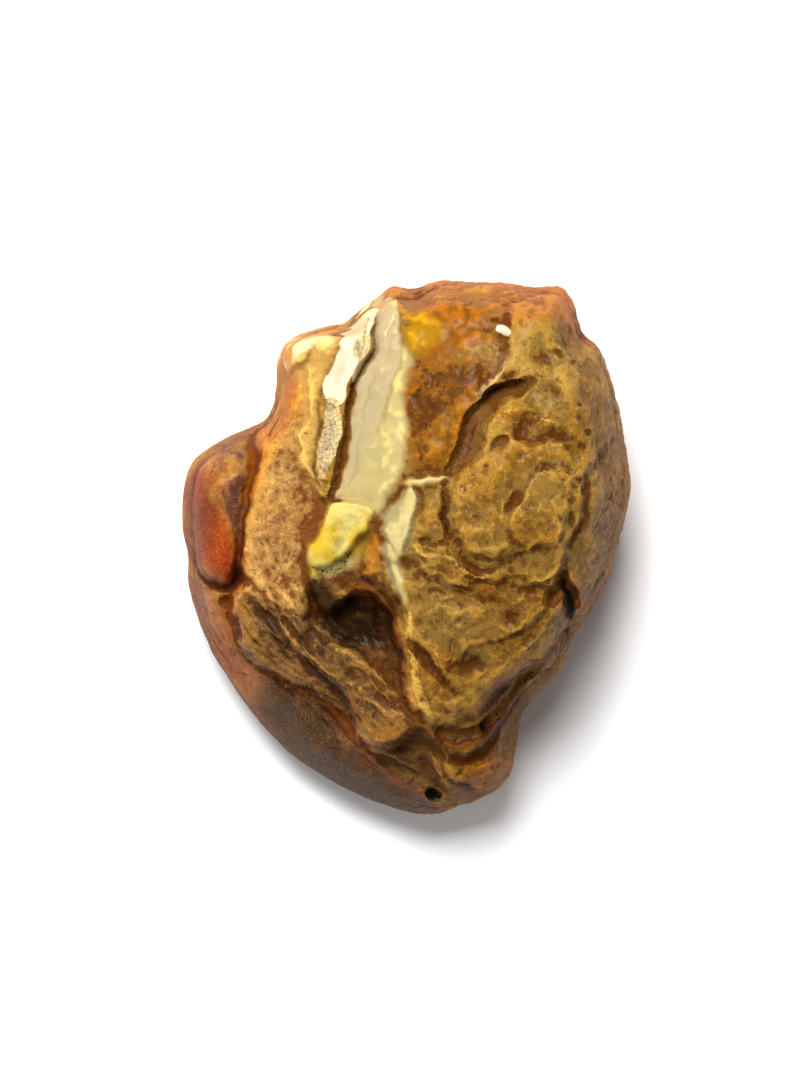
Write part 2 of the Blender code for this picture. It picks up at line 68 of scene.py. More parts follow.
# Girdle seen from above: x, y, and how far in from it the upper side takes to round over
GIRDLE = [
    (-3.9, 34.4, 4.5), (-1.8, 36.1, 4.5), (0.9, 35.7, 5), (2.8, 36.6, 5), (5.6, 37.0, 5),
    (9.0, 36.8, 5), (13.5, 36.7, 5.5), (17.4, 36.0, 5.5), (20.2, 36.2, 5.5), (22.4, 35.0, 6),
    (23.9, 31.0, 6), (24.4, 29.3, 6.5), (26.2, 28.0, 6.5), (28.0, 24.0, 7), (29.3, 19.0, 8),
    (30.3, 13.5, 9), (30.9, 9.5, 9), (30.3, 4.5, 9), (28.9, -1.0, 8), (28.0, -4.2, 7), (25.6, -8.8, 6),
    (23.1, -12.6, 5), (22.0, -16.0, 4.5), (19.4, -19.0, 4.5), (16.6, -22.4, 5), (15.6, -26.5, 5),
    (15.1, -30.0, 6), (13.2, -33.2, 6), (8.3, -35.6, 7), (3.6, -37.0, 8), (-1.5, -36.2, 10),
    (-8.5, -33.4, 12), (-15.5, -29.0, 13), (-20.5, -24.0, 13), (-25.9, -16.2, 11), (-28.7, -10.5, 8),
    (-30.1, -5.0, 6), (-30.1, -0.9, 5), (-30.9, 3.0, 7), (-30.7, 8.2, 7), (-29.4, 12.1, 7),
    (-26.0, 14.7, 6.5), (-21.4, 16.9, 5), (-19.2, 18.0, 4), (-18.0, 21.5, 4), (-17.7, 25.8, 4),
    (-16.2, 28.6, 4), (-12.0, 30.5, 4), (-8.4, 31.2, 4), (-6.0, 33.3, 4),
]


def rounded(points, closed=True, steps=4):
    """A smooth curve through given points (Catmull-Rom). Every column is smoothed."""
    points = np.array(points, float)
    if closed:
        before, after, last = np.roll(points, 1, 0), np.roll(points, -1, 0), np.roll(points, -2, 0)
    else:
        padded = np.vstack([points[:1], points, points[-1:]])
        before, points, after, last = padded[:-3], padded[1:-2], padded[2:-1], padded[3:]
    curve = []
    for t in np.arange(steps) / steps:
        curve.append(
            points
            + 0.5 * t * (after - before)
            + t**2 * (before - 2.5 * points + 2 * after - 0.5 * last)
            + t**3 * (1.5 * (points - after) + 0.5 * (last - before))
        )
    curve = np.stack(curve, 1).reshape(-1, points.shape[1])
    return curve if closed else np.vstack([curve, after[-1:]])


def quarter_round(t):
    """0 at an edge, 1 from t = 1 on, along a quarter of a circle."""
    t = np.clip(t, 0, 1)
    return np.sqrt(1 - (1 - t) ** 2)


def to_segment(x, y, a, b):
    """Distance to the line from a to b, and how far along it the nearest point lies, 0 to 1."""
    dx, dy = b[0] - a[0], b[1] - a[1]
    along = ((x - a[0]) * dx + (y - a[1]) * dy) / max(dx * dx + dy * dy, 1e-9)
    along = np.clip(along, 0, 1)
    return np.hypot(x - a[0] - along * dx, y - a[1] - along * dy), along


def is_inside(x, y, curve):
    """Whether each point lies inside a closed curve, by counting the edges it is left of."""
    inside = np.zeros(len(x), bool)
    for a, b in zip(curve, np.roll(curve, -1, 0)):
        crosses = (a[1] > y) != (b[1] > y)
        rise = b[1] - a[1] if b[1] != a[1] else 1e-9
        inside ^= crosses & (x < a[0] + (y - a[1]) * (b[0] - a[0]) / rise)
    return inside


class Flow:
    """One sheet of resin: an outline, and a crest from which its top falls away on every side.

    Each outline point is x, y, how far the edge there stands below the sheet's top, and how
    wide its rounding is. bend holds the radii of the top's curvature along x and y.
    """

    CLIFF = 5.0  # how steeply the outside falls away below the edge

    def __init__(self, outline, crest, bend=(1e4, 1e4), tilt=(0.0, 0.0)):
        self.outline = rounded(outline, steps=3)
        self.crest = crest
        self.bend = bend
        self.tilt = tilt

    def top(self, x, y):
        dx, dy = x - self.crest[0], y - self.crest[1]
        z = self.crest[2] + self.tilt[0] * dx + self.tilt[1] * dy
        return z - dx**2 / (2 * self.bend[0]) - dy**2 / (2 * self.bend[1])

    def shape(self, z, x, y):
        return np.maximum(z, self.height(x, y))

    def height(self, x, y):
        z = np.full(len(x), -1e3)
        low = self.outline[:, :2].min(0) - 3
        high = self.outline[:, :2].max(0) + 3
        near = (x > low[0]) & (x < high[0]) & (y > low[1]) & (y < high[1])
        x, y = x[near], y[near]
        top = self.top(x, y)
        inside = is_inside(x, y, self.outline)
        least = top.copy()
        closest = np.full(len(x), 1e3)
        edge = top.copy()
        for a, b in zip(self.outline, np.roll(self.outline, -1, 0)):
            distance, along = to_segment(x, y, a, b)
            drop = a[2] + along * (b[2] - a[2])
            roll = np.maximum(a[3] + along * (b[3] - a[3]), 0.2)
            least = np.minimum(least, top - drop * (1 - quarter_round(distance / roll)))
            nearer = distance < closest
            closest = np.where(nearer, distance, closest)
            edge = np.where(nearer, top - drop, edge)
        z[near] = np.where(inside, least, edge - self.CLIFF * closest)
        return z


forms = []
boulder = Flow(
    [(x * 1.1, y * 1.1, 0.1, 1) for x, y, _ in GIRDLE[::3]],
    crest=(0, 0, 18.2), tilt=(0.05, 0.07),
)
forms += [boulder]

# The lobe at the left: a drop of resin that set against the lump, worn smooth. It is red-orange,
# with painted shade in plum-brown along its inner side, and parted from the lump by a crease.
left_lobe = Flow(
    [(-20, 21, 1, 1), (-34, 20, 1, 1), (-34, 0, 2, 2), (-30.4, -0.4, 4, 1.6), (-28.4, -3.4, 4, 1.6),
     (-25.6, -4.8, 4, 1.6), (-23.2, -4.9, 4, 1.4), (-22.4, -1.5, 3, 1.2), (-21.6, 2, 2.6, 1.2),
     (-20.6, 8, 2, 1), (-18, 13, 1, 1)],
    crest=(-26.4, 6, 21.2), bend=(16, 60), tilt=(-0.05, 0.05),
)
forms += [left_lobe]

# Grooves: depth, width to the left and to the right of the way they run, and their points
grooves = [
    (1.0, 0.4, 0.4, [(-30.4, -0.2), (-29.3, -1.7), (-28.2, -3.6), (-25.6, -5.1), (-22.9, -5.2),
                     (-22.6, -1.5), (-21.9, 3), (-21.2, 9), (-20.2, 13)]),
]

# Where each kind of surface shows, seen from above
grounds = {}


def lay(name, soft, areas=(), strokes=()):
    """Adds outlines, and strokes of x, y and half-width, to where a kind of surface shows.

    soft is how far the border spreads to either side of the line.
    """
    ground = grounds.setdefault(name, {"areas": [], "strokes": [], "soft": soft})
    ground["areas"] += areas
    ground["strokes"] += strokes


lay("skin", 0.8, areas=[
    [(-34, 18), (-20, 18), (-20.4, 8), (-21.6, 0), (-23, -5), (-34, -3)],
])
lay("ember", 2.0, strokes=[
    [(-28, 9, 1.6), (-28, 6, 2.2), (-26.6, 3, 3.0), (-25, -1, 2.8), (-23.8, -4.2, 1.6)],
])
lay("plum", 0.8, areas=[
    [(-21.4, 9.6), (-23.4, 10.4), (-25, 7), (-24, 3.6), (-22.4, 0.8), (-21.8, 5)],
], strokes=[
    [(-25.5, 14.2, 0.8), (-22.6, 12.6, 0.9)],
])

# The steps at the lower left: thin flows broken back one behind the other, with a grainy skin
# drawn out in strands. It is brown and grey, lighter on the thin edges.
lower_step = Flow(
    [(-22.8, -5.4, 2.2, 1.2), (-23.7, -8.6, 2.6, 1.8), (-23, -12.6, 2.6, 1.6), (-21, -15.7, 2.6, 1.3),
     (-17.2, -17.7, 2.6, 1.1), (-13, -19.5, 2.4, 1), (-10.3, -21.2, 2.4, 1), (-8, -23.2, 2.6, 1),
     (-6.9, -25.6, 2.8, 1), (-5.2, -27.6, 2.8, 1), (-1.8, -29, 2.6, 1), (1.4, -31.2, 2, 1),
     (4, -26, 1, 1), (1, -8, 1, 1), (-8, -4, 1, 1), (-17, -3, 1, 1)],
    crest=(-16, -12, 20.6), tilt=(0.02, 0.09), bend=(160, 90),
)
middle_step = Flow(
    [(-15.4, -11.6, 1, 0.8), (-13.6, -14.4, 1.4, 0.8), (-12, -16.3, 1.6, 0.8), (-10, -18.1, 1.6, 0.8),
     (-8.6, -19.6, 1.8, 0.8), (-7.6, -21.6, 2, 0.9), (-7.1, -24, 2.2, 1), (-5.4, -26.4, 2.4, 1.1),
     (-2.6, -27.2, 2.4, 1.1), (-0.2, -26, 2, 1), (1.6, -23, 1, 1), (-2, -18, 1, 1), (-9, -12, 1, 1)],
    crest=(-7, -20, 22.4), tilt=(0.08, 0.0), bend=(30, 60),
)
upper_step = Flow(
    [(-20.6, -4.6, 1.2, 1), (-19, -6.9, 1.8, 0.9), (-16.1, -10, 2, 0.8), (-13.8, -12.7, 2, 0.7),
     (-11.5, -15, 2, 0.8), (-8.9, -16.6, 2.2, 0.8), (-6.2, -18.8, 2.6, 1), (-3.6, -21.3, 3, 1.1),
     (-1, -22.2, 3.2, 1.2), (1.4, -23.2, 3, 1.2), (4, -18, 1, 1), (1, -12, 1, 1), (-2, -6, 1, 1),
     (-9, -4, 1, 1), (-15, -4, 1, 1)],
    crest=(-5, -11, 19.2), tilt=(-0.28, -0.36), bend=(60, 60),
)
forms += [lower_step, middle_step, upper_step]
grooves += [
    (0.6, 0.5, 0.4, [(-16.4, -9.4), (-14.4, -11.8), (-12.4, -14)]),
    (0.9, 0.4, 0.5, [(-12.6, -7.6), (-10.6, -9.6), (-8.6, -11.4), (-6.4, -13)]),
    (0.4, 0.4, 0.5, [(-18.8, -9.6), (-17, -12), (-14.4, -14.6), (-11.6, -17.4)]),
]
# Dents: x, y, half-width, half-length, turn in degrees, depth. A dent of less than nothing is a bump
dents = [
    (-24.4, -7.2, 1.2, 1.0, 30, 1.0), (-3.0, -15.6, 0.4, 0.4, 0, 0.5), (-6.9, -22.7, 0.5, 0.6, 0, 0.9),
]
STRANDS = 0.5
STEPS = [(-24, -5), (-13, -6), (-2, -9), (0, -16), (1, -23), (4, -33), (-6, -29), (-20, -18)]
lay("steps", 1.4, areas=[
    [(-22, -5.6), (-18, -7.6), (-13.6, -7.6), (-11.4, -8.8), (-3, -9), (-0.8, -11.6), (0.2, -16),
     (0.6, -22.6), (3.4, -28), (5, -33), (0.6, -31.4), (-5, -28.4), (-7.6, -24), (-13, -20),
     (-21, -16.4), (-24, -11)],
])
# where they lie in each other's shade
lay("dark", 1.4, strokes=[
    [(-19.8, -8.8, 0.6), (-17, -12, 1.0), (-13.6, -15.4, 1.0), (-10, -17.8, 0.9), (-7, -21, 0.8),
     (-4, -24, 0.6)],
    [(-13.6, -6.6, 0.8), (-10.4, -11.6, 0.8), (-6.4, -14.4, 0.6)],
    [(0, -23.8, 0.4), (1.2, -27.6, 0.5), (2.6, -31, 0.6), (3.6, -33.6, 0.9)],
])
# dark olive-grey zones
lay("ash", 1.6, areas=[
    [(-13, -3.4), (-9, -4.4), (-6, -7), (-6.2, -14), (-8, -17), (-12, -16.4), (-15, -11), (-14, -8)],
], strokes=[
    [(-20, -9, 0.8), (-17.6, -12, 1.4), (-14.6, -15, 1.0)],
    [(-19.6, -17.2, 0.6), (-14, -19.6, 0.8), (-9.6, -22.6, 0.8)],
])
# the lighter parts
lay("tan", 1.6, areas=[
    [(-9, -14.6), (-3.4, -13.4), (-0.8, -16), (0.2, -21.6), (-3, -20.6), (-6, -18)],
    [(-6.4, -22.6), (-2, -23.4), (1, -24.4), (2.6, -28.6), (-2, -27.6), (-5.6, -25.6)],
], strokes=[
    [(-22.4, -8, 1.0), (-21.8, -12, 1.4), (-19.6, -15, 1.0)],
])
# painted highlights: light lines along the steps' edges
lay("edge_highlights", 0.5, strokes=[
    [(-22.6, -1.2, 0.1), (-19.8, -5.6, 0.3), (-17.9, -8, 0.2), (-16.5, -10.5, 0.3), (-14.8, -12.8, 0.3),
     (-12, -15.2, 0.2), (-8, -18, 0.3), (-4.4, -20.9, 0.3), (-0.4, -21.9, 0.3)],
    [(-23.2, -12.8, 0.2), (-20.6, -15.8, 0.3), (-16.5, -18.1, 0.2), (-13.3, -19.5, 0.2),
     (-9.8, -21.7, 0.3), (-7.7, -24.1, 0.2), (-6.5, -25.9, 0.3), (-2.4, -27.6, 0.3)],
    [(-12.6, -9.2, 0.1), (-9.4, -12.4, 0.25), (-6, -15.2, 0.2), (-3.2, -17.6, 0.1)],
])
lay("orange", 1.4, strokes=[
    [(-24.5, -6.4, 0.8), (-24.6, -8.4, 0.8)],
])

# The lump's lower left side, below the steps: smooth brown skin with a dark olive-grey middle and
# one small hole.
dents += [
    (-18.8, -25.0, 1.0, 0.6, -40, 1.7),
]
lay("lobe", 0.9, areas=[
    [(-31.5, -3), (-27.6, -4.6), (-24.2, -9), (-23.6, -13.4), (-20.6, -16.8), (-13, -20.6),
     (-8.4, -24.2), (-5.6, -28.2), (1.2, -32), (3.4, -35), (3.6, -38), (-12, -36), (-26, -24),
     (-33, -10)],
])
lay("smoke", 2.6, areas=[
    [(-19.6, -17.6), (-12, -20.4), (-8.6, -24), (-5.6, -28), (-0.3, -31.4), (3.3, -33), (3.4, -38),
     (-5, -38), (-14, -32), (-19.6, -25)],
])

# The arch and the pocket under it: a flow that bridged a hollow. The hollow's floor is nearly
# black, partly its own colour and partly painted shade; the arch's underside is painted shade in warm
# brown.
arch = Flow(
    [(-13.2, -3.2, 1.5, 0.8), (-12.4, -6, 2.5, 1), (-11.6, -7.8, 3, 1), (-10.2, -8.8, 3.6, 1),
     (-8.4, -7.2, 4.2, 0.9), (-6.9, -6.2, 4.8, 0.9), (-4.9, -6.2, 5, 0.8), (-3.4, -7.8, 5, 0.8),
     (-1.8, -10, 4.6, 0.9), (-0.5, -12.3, 3.8, 1), (-0.1, -15.4, 2.6, 1), (1, -18.4, 2, 1),
     (5, -17, 1, 1), (5, -4, 1, 1), (-2, 2, 1, 1), (-9, 1, 1, 1)],
    crest=(-4, -4, 26.0), tilt=(0.12, 0.16), bend=(80, 60),
)
forms += [arch]
lay("pocket", 1.4, areas=[
    [(-12.4, -3.6), (-10, -4.8), (-8.4, -6.2), (-5, -6.4), (-3, -8.6), (-2.2, -12), (-3.4, -13.4),
     (-6, -13.2), (-9, -11.4), (-11.4, -9), (-13.4, -6)],
])
lay("arch", 1.0, strokes=[
    [(-8.6, -4.6, 1.2), (-5.6, -4.4, 1.7), (-3.4, -5.6, 1.5), (-2, -8.6, 1.1), (-1.2, -12, 0.8)],
])
lay("specks", 1.0, strokes=[
    [(-12, -5, 1.4), (-8.4, -10, 1.8), (-6, -14, 1.4)],
])

# The plate at the left: a broad flat flow with a grainy orange-brown skin, a thin shelf on top of
# it and a wet-looking pale lump at its upper corner.
plate = Flow(
    [(-19.7, 18.2, 1, 0.7), (-20.5, 26, 1, 1), (-15, 33, 1, 1), (-3, 36, 1, 1), (-3, 27, 0.6, 1),
     (-5.4, 20, 0.6, 1), (-6.6, 12, 0.6, 1), (-8, 4, 1, 1), (-12.2, 1.5, 1.5, 1.5),
     (-13.2, -2, 1.5, 2.5), (-12.8, -6, 1.4, 3), (-12.6, -10, 1.6, 3), (-13.8, -12.6, 1.8, 2),
     (-16.4, -9.8, 2.4, 0.9), (-19.2, -6.6, 2.8, 0.9), (-21, -4.4, 2.6, 0.8), (-22.7, -2.4, 2.4, 0.8),
     (-22, 1, 2, 0.8), (-21.3, 5, 1.8, 0.8), (-20.4, 9, 1.8, 0.7), (-20, 13.5, 1.8, 0.6)],
    crest=(-12, 12, 26.2), tilt=(0.26, 0.10), bend=(90, 160),
)
shelf = Flow(
    [(-13.4, 26, 0.3, 1), (-13, 21, 0.5, 0.6), (-13.3, 17.8, 0.8, 0.5), (-14.5, 16.5, 0.8, 0.5),
     (-15, 15.1, 0.8, 0.5), (-14.3, 13.6, 0.8, 0.5), (-14, 11.5, 0.9, 0.5), (-12.9, 9.8, 0.9, 0.5),
     (-12.1, 8.4, 0.9, 0.5), (-11.6, 6.9, 0.9, 0.5), (-10.3, 6.3, 0.8, 0.6), (-8.6, 7.4, 0.6, 0.6),
     (-8, 14, 0.5, 1), (-6, 24, 0.5, 1), (-8, 31, 0.3, 1), (-11.5, 30, 0.3, 1)],
    crest=(-12, 12, 27.1), tilt=(0.26, 0.09), bend=(90, 160),
)
gloss_lump = Flow(
    [(-17.8, 26.4, 2, 1.8), (-16.4, 29.4, 2, 1.8), (-13.6, 30.2, 2, 1.8), (-11.4, 28.4, 1.6, 1.6),
     (-12, 25.6, 1.2, 1.6), (-14.6, 24.2, 1.2, 1.6), (-17, 24.6, 1.6, 1.8)],
    crest=(-14.6, 27.2, 28.4), bend=(7, 7),
)
forms += [plate, shelf, gloss_lump]
lay("left", 0.8, areas=[
    [(-33, 20), (-20, 22), (-15, 32), (-8, 33), (-10.4, 24), (-12.4, 18), (-13.4, 10), (-11, 6),
     (-13, 0), (-12.4, -4.4), (-7, -3), (-3.6, -3.4), (-1.2, -9), (0.4, -17), (1.4, -23), (-4, -29),
     (-20, -18), (-26, -8), (-34, -4)],
])
# the light orange-yellow edge and shelf
lay("honey", 1.0, areas=[
    [(-18.4, 24), (-12.4, 26.6), (-10.6, 30), (-8.4, 31), (-10.2, 24), (-11.6, 19), (-12.4, 12),
     (-11.4, 7.6), (-13.2, 9), (-14.6, 12.6), (-15.6, 15), (-14.4, 18), (-17, 19)],
])
# bright orange of the outer edge
lay("glow", 1.6, strokes=[
    [(-17, 24, 1.4), (-16, 21, 2.2), (-17.6, 17.4, 1.8), (-18.8, 13, 1.2)],
    [(-20.8, 13, 0.7), (-21, 10, 0.8), (-21.4, 7, 0.6)],
])
lay("milk", 1.6, strokes=[
    [(-16.4, 25.8, 1.0), (-15.2, 27.4, 1.7), (-12.8, 28.2, 1.0), (-10.4, 28.2, 0.4)],
])
lay("stain", 0.9, strokes=[
    [(-17, 10.6, 0.7), (-18, 6, 0.7), (-19.4, 3, 0.5)],
    [(-16, -4, 0.8), (-13.4, -6, 0.6)],
    [(-15.4, 20.6, 0.4), (-16.4, 22.6, 0.3)],
])
# painted highlight: a light line along the plate's upper-left edge
lay("worn", 0.9, strokes=[
    [(-20.4, 19, 0.2), (-20.2, 16, 0.4), (-19.8, 13, 0.3)],
])

# The core, the thick flow that most of the lump is made of, and the rosy cap along its top edge.
# Between them its skin is thin, and the orange resin shines through.
core = Flow(
    [(-5.1, 38, 6, 3), (-6.2, 28, 3, 2), (-8, 24.5, 2, 2), (-9.4, 21, 2, 2),
     (-10, 15, 2, 2), (-10.4, 10, 2, 2), (-10.8, 6.3, 3, 2), (-8.4, 4.4, 4, 2.4),
     (-6.2, 2.4, 4, 2.4), (-7.2, -0.6, 5, 3), (-8.8, -3.6, 7, 3.2), (-8.2, -5.6, 8, 3),
     (-5.2, -6, 9, 3.6), (-3.2, -8, 9, 3.4), (-2.2, -11, 8, 1.8), (-1.4, -14, 6, 1.2),
     (-0.9, -17, 4.8, 1.0), (-0.6, -20, 4.8, 1.1), (0.9, -22.4, 4.2, 1.4), (2.6, -24.0, 3.6, 1.8),
     (4.6, -24.6, 3.4, 2.0), (6.6, -24.8, 3.6, 2.4), (8.8, -23.3, 4.4, 3), (10.5, -21.8, 4.6, 3.6),
     (11.7, -20.3, 4.4, 4), (13.8, -18.8, 4.2, 3), (15.4, -17.6, 4, 2.4), (17.6, -15.8, 4, 3),
     (19.4, -13.9, 4, 3), (21.6, -11.8, 3.6, 2.4), (24, -10, 3, 2), (30, -9, 1, 1), (36, 6, 1, 1),
     (34, 30, 1, 1), (24, 42, 1, 1), (4, 42, 1, 1)],
    crest=(15, 9, 34.2), bend=(34, 62),
)
cap = Flow(
    [(-4.2, 33.6, 0.4, 1), (-1, 32.8, 0.3, 1.2), (3, 33.2, 0.5, 0.8), (6, 33.8, 0.2, 1),
     (9, 33.2, 0.2, 1), (12, 32.2, 0.2, 1.2), (16, 33, 0.2, 1.2), (20, 32.4, 0.2, 1.2),
     (23, 31, 0.3, 1.2), (30, 30, 1, 1), (26, 42, 1, 1), (-6, 42, 1, 1)],
    crest=(8, 33, 28.4), tilt=(0.2, -0.06), bend=(60, 40),
)
forms += [core, cap]
dents += [
    (1.6, 35.6, 1.0, 0.6, 30, 0.9), (2.7, 34.8, 0.5, 0.8, 0, 0.6), (18.0, 35.0, 1.2, 0.6, 20, 0.7),
    (11.7, 30.4, 0.6, 0.4, 0, 0.7),
]
lay("rosy", 2.2, areas=[
    [(-4.6, 33.8), (-1, 32.8), (4, 33.4), (9, 33), (13, 30), (20, 30.4), (23, 28), (27, 30), (24, 40),
     (-4, 40)],
])
lay("orange", 1.4, areas=[
    [(1.5, 25), (0.2, 32), (4, 33.6), (7, 33.4), (11.4, 32.6), (11.4, 30), (9, 27), (6, 26)],
])
# the yellow shine-through beside the trough's head
lay("amber", 1.2, areas=[
    [(-0.2, 26.6), (0.2, 31), (2.2, 32), (4.8, 30.4), (4.2, 28.2), (2.2, 26.4)],
], strokes=[
    [(8.2, 35.6, 0.5), (10.2, 35.5, 0.5)],
])
lay("specks", 1.0, strokes=[
    [(0.6, 24.4, 0.8), (1.2, 21, 0.6)],
])
lay("stain", 0.9, strokes=[
    [(1.4, 35.4, 0.7), (2.7, 33, 0.4), (5, 32.6, 0.3)],
    [(18, 35, 1.0), (20.6, 33.6, 0.5)],
])
# a small white fleck
lay("ivory", 0.35, areas=[
    [(11.8, 29.0), (12.3, 29.8), (13.3, 29.2), (13.7, 28.3), (13.1, 27.9), (12.4, 28.6)],
])

# The crust over the dome: sheets of ochre weathered resin, each ending in a thin lip, with the
# apron lowest, then the sheet, the shawl and the leaf. It is pitted and softly bumpy.
apron = Flow(
    [(-3.4, 0.4, 2.4, 0.9), (-2.4, -2.8, 2.4, 0.9), (-1.1, -6.5, 2.4, 0.9), (0, -11.4, 2, 0.8),
     (2.4, -14.6, 1.8, 0.7), (5.2, -18, 1.6, 0.7), (5.4, -15.6, 1.2, 0.6), (7.4, -14.2, 1, 0.6),
     (11, -12.8, 0.7, 0.8), (15, -11, 0.5, 1), (18.6, -8, 0.6, 1), (20.4, -3.4, 0.8, 1),
     (18, 4, 1, 1), (4, 4, 1, 1)],
    crest=(15, 9, 34.9), bend=(34, 62),
)
sheet = Flow(
    [(13.8, 31.5, 0.2, 1), (13.3, 27.4, 1, 0.7), (12.4, 24.6, 1.3, 0.6), (11.6, 22.6, 1.3, 0.5),
     (9.6, 19.1, 1.3, 0.5), (11.6, 20.4, 1, 0.5), (14.2, 22.2, 1, 0.5), (15.4, 22, 1, 0.6),
     (13.4, 19.9, 1.2, 0.8), (11.4, 17.8, 1.3, 0.9), (9.7, 15, 1.3, 0.9), (8.2, 12, 1.2, 0.8),
     (6.4, 9.8, 1, 0.6), (4.8, 9.6, 1, 0.5), (2.4, 9.8, 1.1, 0.5), (0.2, 9.8, 1.2, 0.6),
     (-1.5, 7.9, 2.4, 3.2), (-2.9, 5.4, 2.8, 3.6), (-4.2, 3.2, 3, 3.4), (-3.4, 0.6, 2.8, 2.6),
     (-2.6, -1.6, 2.6, 1.4), (0.2, -1.3, 1.1, 0.8), (1.5, -2.3, 1.3, 0.6), (2.4, -3.7, 1.3, 0.6),
     (4, -4.4, 1.2, 0.8), (6, -5.1, 1.3, 0.6), (8.5, -4.8, 1.2, 0.6), (9.6, -4.2, 1.1, 0.8),
     (13, -4.6, 1, 1.2), (16, -5.6, 0.9, 1.4), (18.4, -4.4, 1.2, 1), (20.2, -3, 1.5, 0.8),
     (21.4, 0, 1.4, 0.8), (22.3, 2.8, 1.3, 0.7), (23.3, 5, 1.2, 0.6), (23.3, 7.6, 0.9, 0.8),
     (23.8, 10.2, 0.5, 1.4), (26.4, 13, 0.0, 2.5), (34, 19, 0.0, 2.5), (34, 26, 0.0, 2.5),
     (24, 36, 0.0, 2), (16, 34, 0.0, 2)],
    crest=(15, 9, 35.6), bend=(34, 62),
)
shawl = Flow(
    [(6.4, 9.6, 0.3, 0.5), (8.6, 11.8, 0.4, 0.5), (10.4, 12.8, 0.6, 0.4), (11.4, 13.0, 0.8, 0.4),
     (12.4, 13.1, 0.8, 0.4), (13.0, 14.5, 0.7, 0.4), (14.0, 14.9, 0.7, 0.4), (15.6, 14.1, 0.8, 0.35),
     (17.6, 13.8, 0.8, 0.35), (19.4, 14.3, 0.8, 0.4), (20.8, 14.0, 0.6, 0.5), (21.6, 12, 0.4, 1.5),
     (21.6, 9, 0.1, 2), (20, 2, 0.0, 2), (12, -1, 0.0, 2), (6, 2, 0.0, 2)],
    crest=(15, 9, 36.0), bend=(34, 62),
)
leaf = Flow(
    [(18.5, 10.6, 0.7, 0.5), (17, 10.2, 0.7, 0.5), (16, 8.9, 0.7, 0.5), (15.2, 7.6, 0.7, 0.5),
     (14.3, 5.8, 0.7, 0.5), (13.6, 3.4, 0.4, 0.8), (14.6, 1, 0.2, 1), (17, 0, 0.2, 1),
     (19.8, 0.6, 0.5, 0.6), (20.6, 2.4, 0.7, 0.5), (20.4, 3.8, 0.7, 0.4), (21.3, 5.4, 0.7, 0.4),
     (21.4, 7.6, 0.7, 0.4), (22.2, 9.6, 0.6, 0.5), (20.4, 10.8, 0.6, 0.5)],
    crest=(15, 9, 36.4), bend=(34, 62),
)
forms += [apron, sheet, shawl, leaf]
grooves += [
    # the crevice beside the leaf, and the ledge below the brown stain
    (0.5, 0.4, 0.5, [(23.6, 10), (23.7, 8), (23.3, 6), (23.5, 4.2), (22.6, 2.4), (21.7, 0)]),
    (0.6, 1.6, 0.25, [(13.8, 15.2), (15.6, 14.5), (17.6, 14.2), (19.4, 14.7), (21, 14.4)]),
    # the groove in the apron's tip
    (0.8, 0.5, 0.9, [(0.8, -12.2), (2.2, -14.4), (3.8, -16.4), (5.3, -18.3)]),
]
dents += [
    (15.6, 16.4, 3.4, 1.8, 20, 0.7), (26.6, 22.0, 2.2, 2.6, 10, -0.9),
    (27.4, 16.6, 2.0, 2.2, -20, -0.7), (25.4, 26.4, 1.6, 1.4, 0, -0.7),
    (21.4, 21.6, 2.2, 3.0, 25, -0.7), (18.2, 25.0, 2.4, 1.6, -20, 0.6), (26.0, 12.4, 1.6, 2.2, 10, 0.6),
    (27.8, 7.6, 1.4, 2.6, 0, -0.5), (25.2, 1.0, 1.6, 2.6, -10, -0.6), (11.4, 9.4, 3.6, 2.2, 30, -0.6),
    (8.6, 4.6, 2.4, 2.0, -20, 0.5), (10.6, 0.4, 3.0, 1.4, 10, -0.6), (3.4, -6.6, 1.8, 2.4, -30, 0.6),
    (8.4, -8.4, 3.4, 1.8, 15, -0.8), (14.0, -8.8, 2.4, 1.6, 30, 0.7), (6.6, -20.6, 2.4, 1.6, -20, -0.8),
    (11.8, -17.6, 2.0, 1.4, 30, -0.7), (16.6, -13.4, 2.2, 1.4, 40, -0.7),
    (12.2, 14.0, 1.5, 0.8, 20, 0.9), (21.6, 3.4, 1.0, 1.8, 10, 0.8), (14.2, 6.4, 0.9, 2.4, -35, 0.6),
    (9.0, -15.4, 3.2, 1.4, 10, 0.9),
    (20.0, 25.9, 0.8, 0.4, -30, 0.5), (22.5, 25.4, 0.4, 0.6, 20, 0.5), (23.3, 24.4, 0.4, 0.5, 0, 0.5),
    (23.0, 19.4, 0.5, 0.4, 0, 0.4), (24.4, 15.4, 0.6, 0.5, 0, 0.5), (23.4, 13.6, 0.6, 0.5, 0, 0.6),
    (22.6, 9.2, 0.8, 0.4, 0, 0.5), (25.2, 7.0, 0.6, 0.8, 0, 0.3), (27.6, 3.8, 0.8, 0.9, 0, 0.3),
]
LUMPS = 0.45
# brown stains that gather in folds and round pits
lay("stain", 0.9, strokes=[
    [(3, -6.8, 0.5), (5, -8.2, 0.4)],
    [(2.4, -10.4, 0.3), (5, -10.8, 0.5)],
    [(2.6, -13.6, 0.2), (5.2, -17.8, 0.3)],
    [(14.6, 14.2, 0.3), (17, 15.2, 0.7), (20.4, 15.2, 0.4)],
    [(21.6, 3.4, 0.6), (22.8, 6, 0.4), (23.4, 9, 0.4)],
    [(12.6, 5, 0.3), (15.4, 4, 0.4)],
    [(17.6, 10, 0.3), (15.4, 8.2, 0.4), (14.2, 5.6, 0.4)],
    [(22.0, 8.4, 0.3), (21.4, 6, 0.4), (20.4, 3, 0.4), (19.8, 0.6, 0.4)],
    [(24, 26, 0.7), (26.4, 26.6, 0.8)],
])
